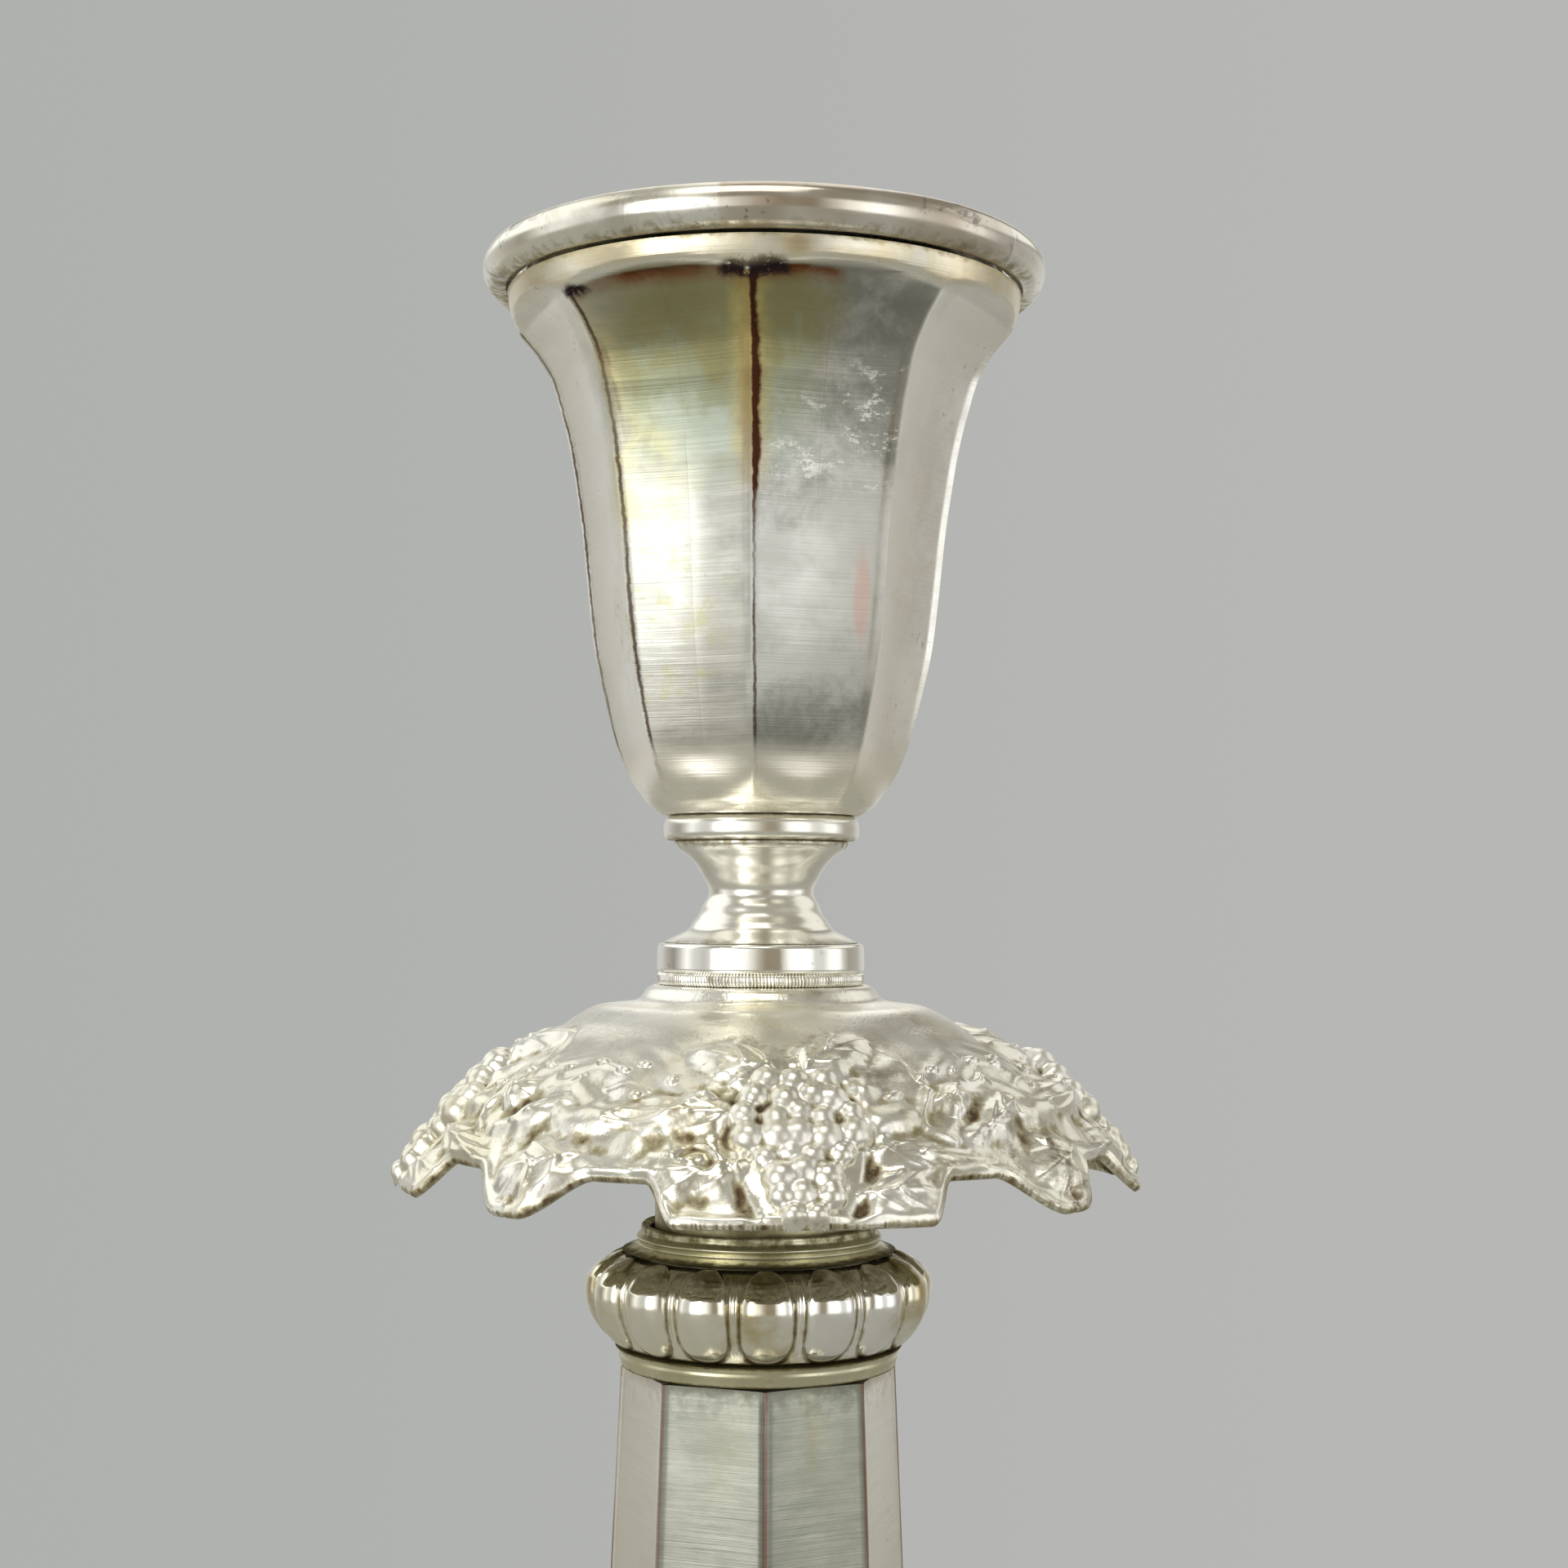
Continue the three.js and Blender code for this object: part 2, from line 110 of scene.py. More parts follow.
def left_of(line, distance):
    """A line moved to its left, as a sheet's other face."""
    along = np.gradient(line, axis=0)
    along /= np.linalg.norm(along, axis=1)[:, None] + 1e-9
    return line + distance * np.stack([-along[:, 1], along[:, 0]], 1)


class Rings:
    """Rows of points round the axis: r, phi and z in mm and radians, each rows by columns."""

    def __init__(self, line, columns, turn=0.0):
        phi = turn + np.arange(columns) * TAU / columns
        self.turn = turn
        self.r, self.phi = np.meshgrid(line[:, 0], phi, indexing="ij")
        self.z = np.repeat(line[:, 1:2], columns, 1)
        self.marks = {}

    def piece(self, name, closed=True, sharp=38):
        return grid_piece(name, self.r * np.sin(self.phi), -self.r * np.cos(self.phi), self.z,
                          self.marks, closed, sharp)


def grid_piece(name, x, y, z, marks, closed=True, sharp=38):
    """A mesh object from a grid that wraps along its columns, and along its rows if closed."""
    faces = grid_faces(*x.shape, closed, True)
    flat_marks = {key: value.reshape(-1) for key, value in marks.items()}
    return mesh_piece(name, np.stack([x, y, z], -1).reshape(-1, 3), faces, flat_marks, sharp)


def grid_faces(rows, columns, rows_wrap, columns_wrap):
    i = np.arange(rows if rows_wrap else rows - 1)[:, None]
    j = np.arange(columns if columns_wrap else columns - 1)[None]
    up, beside = (i + 1) % rows, (j + 1) % columns
    corners = i * columns + j, i * columns + beside, up * columns + beside, up * columns + j
    return np.stack(np.broadcast_arrays(*corners), -1).reshape(-1, 4)


def mesh_piece(name, points, faces, marks, sharp=38):
    mesh = bpy.data.meshes.new(name)
    mesh.vertices.add(len(points))
    mesh.vertices.foreach_set("co", (np.asarray(points, np.float32) * MM).ravel())
    mesh.loops.add(faces.size)
    mesh.loops.foreach_set("vertex_index", faces.astype(np.int32).ravel())
    mesh.polygons.add(len(faces))
    mesh.polygons.foreach_set("loop_start", np.arange(0, faces.size, faces.shape[1], dtype=np.int32))
    mesh.update(calc_edges=True)
    mesh.validate()
    for key, values in marks.items():
        mesh.attributes.new(key, "FLOAT", "POINT").data.foreach_set("value", values.astype(np.float32))
    mesh.shade_smooth()
    if sharp:
        mesh.set_sharp_from_angle(angle=math.radians(sharp))
    made = bpy.data.objects.new(name, mesh)
    bpy.context.scene.collection.objects.link(made)
    return made


def finished(piece, body, nodes, material):
    """Puts a piece on its body in place of CAD nodes, with its material."""
    piece.data.materials.append(material)
    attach(piece, body)
    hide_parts(*nodes)
    return piece


def rolled(radius, half, low, high, steps, columns):
    """Rings of a rolled wire between two heights, and the angle of each point round the wire."""
    a = np.linspace(0, TAU, steps, endpoint=False)
    section = np.stack([radius + half * np.cos(a), (low + high) / 2 + (high - low) / 2 * np.sin(a)], 1)
    return Rings(section, columns), np.repeat(a[:, None], columns, 1)


def turned(name, line, body, nodes, material, columns=160):
    return finished(Rings(line, columns).piece(name), body, nodes, material)


# ---------------------------------------------------------------- materials


class Nodes:
    """A material's node tree, with the few kinds of node that the finishes need."""

    def __init__(self, name):
        self.material = bpy.data.materials.new(name)
        self.material.use_nodes = True
        self.tree = self.material.node_tree
        self.shader = self.tree.nodes["Principled BSDF"]
        self.place = self.add("ShaderNodeTexCoord").outputs["Object"]

    def add(self, kind, **settings):
        node = self.tree.nodes.new(kind)
        for key, value in settings.items():
            setattr(node, key, value)
        return node

    def feed(self, socket, value):
        if isinstance(value, bpy.types.NodeSocket):
            self.tree.links.new(value, socket)
        elif value is not None:
            socket.default_value = (*value, 1) if socket.type == "RGBA" else value
        return socket

    def math(self, operation, a, b=None):
        node = self.add("ShaderNodeMath", operation=operation)
        self.feed(node.inputs[0], a)
        self.feed(node.inputs[1], b)
        return node.outputs[0]

    def times(self, first, *others):
        for other in others:
            first = self.math("MULTIPLY", first, other)
        return first

    def plus(self, first, *others):
        for other in others:
            first = self.math("ADD", first, other)
        return first

    def most(self, a, b):
        return self.math("MAXIMUM", a, b)

    def lay(self, tint, *shares):
        """Lays a tint over the colour so far, as thickly as the product of the shares says."""
        self.colour = self.mix(self.times(*shares), self.colour, tint)

    def between(self, value, low, high, to_low=0.0, to_high=1.0):
        """value's place between low and high, clamped and eased, spread over another range."""
        node = self.add("ShaderNodeMapRange", interpolation_type="SMOOTHSTEP")
        for socket, v in zip(node.inputs, (value, low, high, to_low, to_high)):
            self.feed(socket, v)
        return node.outputs[0]

    def ragged(self, noise, reach):
        """Noise spread from -reach to reach."""
        return self.between(noise, 0.3, 0.7, -reach, reach)

    def mix(self, share, a, b):
        node = self.add("ShaderNodeMix", data_type="RGBA")
        self.feed(node.inputs["Factor"], share)
        self.feed(node.inputs[6], a)
        self.feed(node.inputs[7], b)
        return node.outputs[2]

    def noise(self, scale, detail=3.0, rough=0.55, stretch=None, shift=0.0, warp=0.0):
        """Noise whose features are about 1/scale metres across."""
        place = self.place
        if stretch or shift:
            mapping = self.add("ShaderNodeMapping")
            self.feed(mapping.inputs["Vector"], place)
            mapping.inputs["Scale"].default_value = stretch or (1, 1, 1)
            mapping.inputs["Location"].default_value = (shift, shift * 0.7, shift * 1.3)
            place = mapping.outputs[0]
        node = self.add("ShaderNodeTexNoise")
        self.feed(node.inputs["Vector"], place)
        for key, value in (("Scale", scale), ("Detail", detail), ("Roughness", rough), ("Distortion", warp)):
            node.inputs[key].default_value = value
        return node.outputs["Fac"]

    def mark(self, name):
        """A value that the mesh carries at each point, 0 where it carries none."""
        return self.add("ShaderNodeAttribute", attribute_name=name).outputs["Fac"]

    def sector(self, low, high):
        """1 between two angles from -Y round the axis, in radians."""
        split = self.add("ShaderNodeSeparateXYZ")
        self.feed(split.inputs[0], self.place)
        angle = self.math("ARCTAN2", split.outputs["X"], self.times(split.outputs["Y"], -1))
        return self.times(self.between(angle, low - 0.01, low + 0.01),
                          self.between(angle, high + 0.01, high - 0.01))

    def near(self, where, reach, wobble=0.35, hard=False):
        """1 at a place on the object, falling to 0 at reach (m) from it along a ragged edge."""
        node = self.add("ShaderNodeVectorMath", operation="DISTANCE")
        self.feed(node.inputs[0], self.place)
        node.inputs[1].default_value = where
        ragged = self.math("MULTIPLY_ADD", self.noise(260, 4), reach * wobble * 2)
        ragged.node.inputs[2].default_value = -reach * wobble
        return self.between(self.plus(node.outputs["Value"], ragged), reach, reach * (0.7 if hard else 0.35))

    def height(self):
        split = self.add("ShaderNodeSeparateXYZ")
        self.feed(split.inputs[0], self.place)
        return split.outputs["Z"]

    def bump(self, height, depth, below=None):
        node = self.add("ShaderNodeBump")
        node.inputs["Strength"].default_value = 1.0
        node.inputs["Distance"].default_value = depth
        self.feed(node.inputs["Height"], height)
        self.feed(node.inputs["Normal"], below)
        return node.outputs[0]

    def finish(self, colour, roughness, normal, metallic=1.0):
        self.feed(self.shader.inputs["Base Color"], colour)
        self.feed(self.shader.inputs["Roughness"], roughness)
        self.feed(self.shader.inputs["Normal"], normal)
        self.feed(self.shader.inputs["Metallic"], metallic)
        return self.material


SILVER = (0.95, 0.94, 0.89)
CREAM = (0.85, 0.81, 0.60)
OLIVE = (0.34, 0.29, 0.15)
UMBER = (0.11, 0.065, 0.035)
BLACK = (0.018, 0.015, 0.016)


def silver(name, shine=0.16, haze=0.16, patina=0.4, brushed=0.0, pits=0.3, dents=0.3, extra=None):
    """Silver plate: shine is its least roughness, haze what dullness adds, patina how yellow it has gone.
    Marks on the mesh add what only the shape knows: tarnish in hollows together with painted shade in hollows
    and under overhangs, and lines along edges."""
    n = Nodes(name)
    blotch = n.noise(95, 5, 0.6, warp=0.4)
    cloud = n.noise(34, 3, 0.5, shift=0.3)
    fine = n.noise(900, 4, 0.6, shift=0.1)
    n.colour = SILVER
    n.lay(CREAM, n.between(cloud, 0.35, 0.7, 0.0, patina))
    n.lay((0.62, 0.53, 0.30), n.between(blotch, 0.52, 0.72), patina)
    grime_and_shade = n.mark("grime_and_shade")
    grime_and_shade = n.times(n.plus(grime_and_shade, n.ragged(fine, 0.16)), n.between(grime_and_shade, 0.0, 0.12))
    # The grime_and_shade mark lays olive, umber and black: partly tarnish that the plate has in its hollows,
    # partly painted shade in hollows, seams and under overhangs.
    n.lay(OLIVE, n.between(grime_and_shade, 0.12, 0.55, 0.0, 0.85))
    n.lay(UMBER, n.between(grime_and_shade, 0.5, 0.8, 0.0, 0.9))
    n.lay(BLACK, n.between(grime_and_shade, 0.82, 1.0))
    speck = n.between(n.noise(1500, 2, 0.5, shift=0.5), 0.66, 0.72)
    n.lay(UMBER, speck, n.between(n.noise(120, 3, shift=0.8), 0.45, 0.65, 0.0, pits))
    dull = n.between(n.noise(150, 4, 0.6, shift=0.6), 0.35, 0.7, 0.0, haze)
    n.rough = n.plus(dull, shine, n.between(grime_and_shade, 0.1, 0.7, 0.0, 0.35))
    n.normal = n.bump(n.noise(130, 2, 0.4, shift=0.2), 0.00006 * dents)
    n.normal = n.bump(fine, 0.000006, n.normal)
    if brushed:
        grain = n.noise(60, 3, 0.6, stretch=(1, 1, 55))
        scratch = n.noise(40, 2, 0.7, stretch=(1, 1, 160), shift=0.4)
        n.normal = n.bump(n.plus(grain, scratch), 0.00002 * brushed, n.normal)
        n.rough = n.plus(n.rough, n.between(scratch, 0.3, 0.7, 0.0, 0.08 * brushed))
    if extra:
        extra(n, grime_and_shade)
    return n.finish(n.colour, n.rough, n.normal)


def plain_metal(name, colour, dark, shine, spots=120):
    n = Nodes(name)
    patch = n.between(n.noise(spots, 5, 0.65, warp=0.5), 0.38, 0.66)
    speck = n.between(n.noise(1300, 3, 0.6, shift=0.4), 0.55, 0.7)
    tone = n.mix(n.most(patch, n.times(speck, 0.5)), colour, dark)
    rough = n.between(patch, 0, 1, shine, min(shine + 0.3, 1))
    return n.finish(tone, rough, n.bump(n.noise(700, 4, 0.6), 0.00003))


def matt(name, colour, dark, scale, depth):
    n = Nodes(name)
    fibre = n.noise(scale, 6, 0.7)
    tone = n.mix(n.between(n.noise(scale * 0.12, 4), 0.35, 0.65), colour, dark)
    tone = n.mix(n.between(fibre, 0.3, 0.7, 0.0, 0.5), tone, dark)
    return n.finish(tone, n.between(fibre, 0.3, 0.7, 0.85, 1.0), n.bump(fibre, depth), 0.0)


# ---------------------------------------------------------------- nozzle


def nozzle_rim():
    low, high = span("nozzle_rolled_rim")
    rings, across = rolled(24.9, 1.72, low + 0.02, high - 0.02, 40, 320)
    rings.r += 0.05 * np.sin(3 * rings.phi + 1) + 0.03 * np.sin(11 * rings.phi + across)
    patchy = 0.45 + 0.55 * np.abs(np.sin(2.3 * rings.phi + 0.15 * np.sin(9 * rings.phi)))
    below, above = ease(0.4, 1.0, -np.sin(across)), ease(0.85, 1.0, np.sin(across))
    rings.marks["grime_and_shade"] = 0.42 * patchy * below + 0.3 * above
    finished(rings.piece("nozzle_rim_roll"), "nozzle", ["nozzle_rolled_rim"], rim_silver())


def nozzle_insides():
    tube_low, tube_high = span("candle_tube")
    dish_low, dish_high = span("nozzle_dish")
    inner, outer = 11.2, 11.9
    dish = flowing([(outer, tube_high - 1.2), (12.6, tube_high - 0.2), (15.5, 284.4), (19.5, 285.8),
                    (22.9, dish_high - 0.6)])
    bore = [(inner, tube_low + SHEET), (inner, tube_high), (12.4, dish_low + 1.3)]
    upper = left_of(dish[dish[:, 0] > 12.8], SHEET)
    foot = [(inner - 1.6, tube_low + SHEET), (inner - 1.6, tube_low), (outer, tube_low)]
    line = outline(dish, upper[::-1], bore[::-1], foot, step=0.3)
    rings = Rings(line, 144)
    rings.marks["grime_and_shade"] = 0.5 * ease(tube_high - 3, tube_low, rings.z) + 0.15
    finished(rings.piece("nozzle_dish_and_tube"), "nozzle", ["nozzle_dish", "candle_tube"], inner_silver())
    low, high = span("candle_tube_floor")
    floor = outline([(0.02, low), (10.9, low), (10.9, high), (0.02, high)], step=0.4, soften=1)
    turned("nozzle_tube_floor", floor, "nozzle", ["candle_tube_floor"], inner_silver(), 96)
    low, high = span("nozzle_locating_ring")
    turned("nozzle_register_ring", outline([(22, low), (22.7, low), (22.7, high), (22, high)]), "nozzle",
           ["nozzle_locating_ring"], inner_silver(), 128)


# ---------------------------------------------------------------- cup

CUP_PROFILE = [(9.3, 0), (10.5, 0.8), (11.2, 1.6), (12.3, 3.1), (13.05, 4.6), (13.65, 6.2), (14.15, 7.9),
               (14.95, 11.5), (15.7, 15.3), (16.2, 19.2), (16.6, 23), (17.0, 26.8), (17.55, 30.6),
               (18.05, 33.7), (18.7, 36.7), (19.15, 38.3), (19.55, 39.8), (20.05, 41.3), (20.75, 42.6),
               (21.75, 44.1), (22.95, 45.5), (23.7, 46.5), (24.1, 47.6), (24.35, 49.0)]
HALF_SIDE = math.pi / SIDES


def from_panel_middle(phi, turn):
    """Angle from the middle of the flat side that phi is on."""
    side = 2 * HALF_SIDE
    local = (phi - turn) / side
    return (local - np.floor(local) - 0.5) * side


def fluted(radius, phi, turn, hollow):
    """The radius of a hollow-sided figure whose corners lie at radius."""
    off = from_panel_middle(phi, turn)
    share = off / HALF_SIDE
    return radius * math.cos(HALF_SIDE) / np.cos(off) - hollow * (1 - share**2)


def cup():
    low, high = span("cup_shell")
    wall = evenly(flowing(np.asarray(CUP_PROFILE) + (0, low), 8), 0.28)
    inside = left_of(evenly(wall, 1.4), SHEET)[::-1]
    floor = [(8.4, low + SHEET), (2.6, low + SHEET), (2.6, low), (8.9, low)]
    line = np.vstack([wall, inside, floor])
    rings = Rings(line, SIDES * 52, CUP_TURN)
    off = np.abs(from_panel_middle(rings.phi, CUP_TURN)) / HALF_SIDE
    arch = low + 46.1 + 0.85 * (1 - off**3.2)
    within = ease(low + 0.4, low + 5.6, rings.z) * (1 - ease(arch - 0.45, arch + 0.3, rings.z))
    flute = fluted(rings.r, rings.phi, CUP_TURN, 0.45)
    to_arris = rings.r * HALF_SIDE * (1 - off)
    bead = 0.26 * np.exp(-(to_arris / 0.34) ** 2) * ease(low + 4, low + 17, rings.z)
    outer = np.arange(len(line))[:, None] < len(wall)
    rings.r = rings.r + within * (flute - rings.r + bead * outer)
    foot, lip = ease(low + 1.0, low, rings.z), ease(high - 0.9, high - 0.1, rings.z)
    rings.marks = {
        "arris": to_arris,
        "beside": -np.sign(from_panel_middle(rings.phi, CUP_TURN)) * to_arris,
        "arch": arch - rings.z,
        "within": within * outer,
        "grime_and_shade": 0.35 * foot + 0.5 * lip + 0.4 * (~outer),
    }
    finished(rings.piece("bell_cup", sharp=50), "top_section", ["cup_shell"],
             silver("cup_silver", patina=0.3, brushed=0.6, pits=0.4, dents=0.6, extra=cup_extra))


def on_cup(panel, across, up):
    """A place on the cup: panel 0 is right of the front arris, across runs 0 to 1 over it, up is in mm."""
    low, _ = span("cup_shell")
    phi = CUP_TURN + (panel + across) * 2 * HALF_SIDE
    profile = np.asarray(CUP_PROFILE)
    r = np.interp(up, profile[:, 1], profile[:, 0]) * 0.94
    return (r * math.sin(phi) * MM, -r * math.cos(phi) * MM, (low + up) * MM)


class CupSurface:
    """What the cup's finishes share: the marks on its mesh, heights in metres, and two kinds of cloud."""

    def __init__(self, n):
        self.arris, self.beside, self.arch = n.mark("arris"), n.mark("beside"), n.mark("arch")
        self.flute = n.between(n.mark("within"), 0.3, 0.9)
        self.up = n.math("SUBTRACT", n.height(), span("cup_shell")[0] * MM)
        self.cloud, self.grain = n.noise(170, 4, 0.6, shift=0.9, warp=0.5), n.noise(1100, 4, 0.7, shift=0.7)


def right_panel_painted_reflection(n, cup):
    """The panel right of the front arris: a painted reflection in grey, darker high up and near its foot,
    with pale flecks.
    """
    panel = n.sector(CUP_TURN, CUP_TURN + 2 * HALF_SIDE)
    right = n.times(n.near(on_cup(0, 0.5, 25), 0.030, 0.05, True), panel, cup.flute)
    dark = n.times(n.most(n.between(cup.up, 0.022, 0.036), n.between(cup.up, 0.015, 0.007, 0.0, 0.85)), 0.55)
    dark = n.plus(dark, n.between(cup.cloud, 0.3, 0.7, -0.14, 0.2), n.ragged(cup.grain, 0.07))
    n.lay(n.mix(n.between(dark, 0.0, 0.75), (0.66, 0.66, 0.63), (0.24, 0.245, 0.215)), right, 0.92)
    fleck = n.between(n.noise(330, 6, 0.8, stretch=(1, 1, 1.8), shift=0.7), 0.54, 0.62)
    spots = n.most(n.near(on_cup(0, 0.84, 34), 0.0085), n.near(on_cup(0, 0.3, 33), 0.006))
    n.lay((0.92, 0.90, 0.86), fleck, right, spots, 0.85)
    return right


def left_panel_painted_reflection(n, cup):
    """The panel left of the front arris has a painted grey reflection along its right-hand side only."""
    streaks = n.noise(110, 4, 0.7, stretch=(1, 1, 9), shift=0.33)
    left = n.times(n.sector(CUP_TURN - 2 * HALF_SIDE, CUP_TURN), cup.flute, n.between(cup.beside, -8.6, -4.2))
    n.lay((0.50, 0.50, 0.45), left, n.between(streaks, 0.25, 0.6, 0.5, 1.0), 0.8)


def tarnish_films(n, cup):
    """High on the front panels: olive above, green and blue-grey below, yellow beside, red-brown on top."""
    film = n.most(n.near(on_cup(-1, 0.62, 40), 0.0145, 0.15), n.near(on_cup(0, 0.1, 43), 0.0085, 0.2))
    film = n.times(n.math("POWER", film, 0.7), cup.flute)
    hue = n.plus(n.between(cup.up, 0.030, 0.045, 0.75, 0.1), n.ragged(cup.cloud, 0.2))
    tint = n.mix(n.between(hue, 0.15, 0.45), (0.33, 0.31, 0.16), (0.36, 0.38, 0.26))
    tint = n.mix(n.between(hue, 0.45, 0.8), tint, (0.50, 0.55, 0.46))
    yellow = n.times(n.between(cup.arris, 2.6, 0.8), n.between(cup.cloud, 0.3, 0.6))
    n.lay(n.mix(yellow, tint, (0.55, 0.48, 0.20)), film)
    brown = n.between(cup.cloud, 0.35, 0.55, 0.5, 1.0)
    n.lay((0.22, 0.07, 0.02), n.between(cup.arch, 1.7, 0.1), n.between(film, 0.1, 0.5), brown)
    return film


def low_stains(n, cup):
    """Yellow-green stains low on the left front panel, and a streak worn to copper on the right one."""
    spotty = n.between(n.noise(420, 5, 0.75, shift=0.5), 0.5, 0.64)
    n.lay((0.56, 0.55, 0.28), n.near(on_cup(-1, 0.2, 17), 0.011, 0.4), spotty, 0.55)
    n.lay((0.66, 0.62, 0.32), n.near(on_cup(-1, 0.12, 30), 0.007, 0.4), n.between(cup.cloud, 0.3, 0.55), 0.6)
    n.lay((0.82, 0.46, 0.37), copper_streak(n), 0.42)


def dark_arrises(n, cup):
    """A dark line to the right of each arris, red-brown and wide high on the front one."""
    beside = n.plus(cup.beside, n.ragged(cup.grain, 0.06))
    thin = n.times(n.between(beside, 0.1, 0.22), n.between(beside, 0.48, 0.32), cup.flute)
    n.lay((0.09, 0.05, 0.035), thin, n.between(n.noise(90, 3, shift=0.2), 0.3, 0.6, 0.55, 1.0), 0.9)
    front = n.times(n.near(on_cup(0, 0, 40), 0.017, 0.15), cup.flute)
    n.lay((0.48, 0.32, 0.12), n.between(n.plus(cup.arris, n.ragged(cup.cloud, 0.5)), 1.3, 0.2), front, 0.55)
    core = n.between(n.plus(beside, n.ragged(cup.cloud, 0.3)), 0.95, 0.55)
    n.lay((0.07, 0.025, 0.012), n.between(beside, 0.05, 0.25), core, n.between(front, 0.05, 0.5))


def cup_ends(n, cup):
    """Black where two arches meet, a painted highlight along the foot, and a yellowed lip."""
    smear = n.between(n.plus(n.math("ABSOLUTE", cup.arch), n.ragged(cup.grain, 0.25)), 0.95, 0.4)
    left_top = n.near(on_cup(-1, 0.02, 46.0), 0.002, 0.3, True)
    tops = n.most(n.near(on_cup(0, 0.03, 46.2), 0.0036, 0.3, True), left_top)
    n.lay((0.035, 0.022, 0.025), tops, smear, n.between(cup.grain, 0.3, 0.45))
    # Painted highlight: a pale cream band along the foot.
    n.lay((0.98, 0.94, 0.82), n.between(cup.up, 0.007, 0.0045, 0.0, 0.75))
    lip = n.times(n.between(cup.arch, 0.1, -0.7), n.between(cup.up, 0.03, 0.04))
    n.lay((0.80, 0.70, 0.46), lip, n.between(cup.cloud, 0.3, 0.6, 0.35, 0.9))


def cup_extra(n, grime_and_shade):
    cup = CupSurface(n)
    right = right_panel_painted_reflection(n, cup)
    left_panel_painted_reflection(n, cup)
    film = tarnish_films(n, cup)
    low_stains(n, cup)
    dark_arrises(n, cup)
    cup_ends(n, cup)
    n.rough = n.plus(n.rough, n.times(n.most(right, film), 0.08), n.times(cup.flute, 0.07))


def copper_streak(n):
    """A mask for an upright streak, 9 mm by 1.6 mm, low on the panel right of the front arris."""
    mapping = n.add("ShaderNodeMapping", vector_type="POINT")
    n.feed(mapping.inputs["Vector"], n.place)
    x, y, z = on_cup(0, 0.87, 19.5)
    mapping.inputs["Scale"].default_value = (1, 1, 0.17)
    mapping.inputs["Location"].default_value = (-x, -y, -z * 0.17)
    length = n.add("ShaderNodeVectorMath", operation="LENGTH")
    n.feed(length.inputs[0], mapping.outputs[0])
    ragged = n.times(n.noise(500, 3), 0.0004)
    return n.between(n.plus(length.outputs["Value"], ragged), 0.0012, 0.0007)


# ---------------------------------------------------------------- neck, disc and wire


def neck():
    body = "top_section"
    low, high = span("cup_collar")
    low, high = low - 0.1, high + 0.14
    bulge = flowing([(8.95, low + 0.1), (9.2, low + 0.5), (9.2, low + 1.5), (8.95, high - 0.3)], 4)
    line = outline([(2.6, low), (8.75, low)], bulge, [(8.6, high), (2.6, high)], step=0.16)
    rings = Rings(line, 192)
    rings.marks["grime_and_shade"] = 0.45 * ease(high - 0.35, high, rings.z) + 0.5 * ease(low + 0.35, low, rings.z)
    finished(rings.piece("cup_collar_ring"), body, ["cup_collar"], neck_silver())
    low, high = span("spool_neck")
    low, high = low - 0.14, high + 0.04
    flare = flowing([(9.25, 0), (8.4, 0.45), (6.9, 1.2), (6.4, 1.9), (5.8, 2.7), (5.5, 3.5), (5.04, 4.25),
                     (4.9, 4.9), (5.2, 5.8), (5.66, 6.55), (6.1, 7.3), (6.85, 8.1), (8.0, 8.9),
                     (8.2, high - low)], 6)
    line = outline([(2.6, low)], flare + (0, low), [(2.6, high)], step=0.18)
    rings = Rings(line, 192)
    rings.marks["grime_and_shade"] = 0.45 * ease(high - 1.2, high, rings.z) + 0.3 * ease(low + 0.8, low, rings.z)
    finished(rings.piece("neck_spool"), body, ["spool_neck"], neck_silver())
    low, high = span("neck_disc")
    low += 0.4
    line = outline([(2.6, low), (9.5, low), (9.75, low + 0.25), (9.7, high - 0.3), (9.5, high),
                    (2.6, high)], step=0.14, soften=2)
    turned("neck_disc_plate", line, body, ["neck_disc"], disc_silver(), 192)
    low, high = span("milled_wire")[0] - 0.17, span("neck_disc")[0] + 0.42
    teeth = 190
    rings, across = rolled(9.42, 0.3, low, high, 16, teeth * 6)
    wear = 0.7 + 0.3 * np.sin(13 * rings.phi) * np.sin(29 * rings.phi + 1)
    wave = np.cos(teeth * rings.phi + 0.5 * np.sin(across)) * wear
    rings.r += 0.055 * wave
    rings.marks["grime_and_shade"] = 0.55 * ease(0.3, -0.9, wave)
    finished(rings.piece("milled_wire_ring"), body, ["milled_wire"], neck_silver())


# ---------------------------------------------------------------- vine border, on the pan and on the foot

# Places here are (degrees round from the middle of a bunch of grapes, mm up the slope from the edge).
# The edge has a broad leaf under each bunch and a slim one half-way to the next. It is cut back between them.
EDGE_LEAF = 1.4
EDGE_NOTCH = 5.6
NOTCH_STARTS = (18, 24)
NOTCH_ENDS = (32.5, 43)

# Leaves: stalk end, tip, half width in mm, how far the border stands up, how much more the middle does.
LEAVES = [((-7, 7.5), (-27, 6), 2.8, 0.4, 0.5), ((-8, 12), (-33, 12), 2.1, 0.4, 0.6),
          ((-1, 17), (-22, 20), 3.8, 0.34, 0.3), ((1, 17), (22, 22), 2.9, 0.38, 0.5),
          ((9, 11), (23, 11.5), 1.6, 0.4, 0.5), ((7, 4), (22, 4), 2.4, 0.3, 0.55),
          ((10, 8.5), (32, 6), 1.7, 0.42, 0.35), ((27, 13), (35, 13), 1.9, 0.5, 0.6),
          ((30, 9.5), (35, 9.5), 1.0, 0.45, 0.5), ((34, 9.5), (48, 13), 1.7, 0.5, 0.35),
          ((-32, 12), (-45, 10), 1.4, 0.5, 0.3), ((-26, 6.5), (-37, 6.5), 1.5, 0.18, 0.4),
          ((-37, 7.5), (-51, 4.5), 3.4, 0.34, 0.95), ((11, 14), (16, 15), 1.4, 0.3, 0.5)]
SMALL_LEAF = 1.6
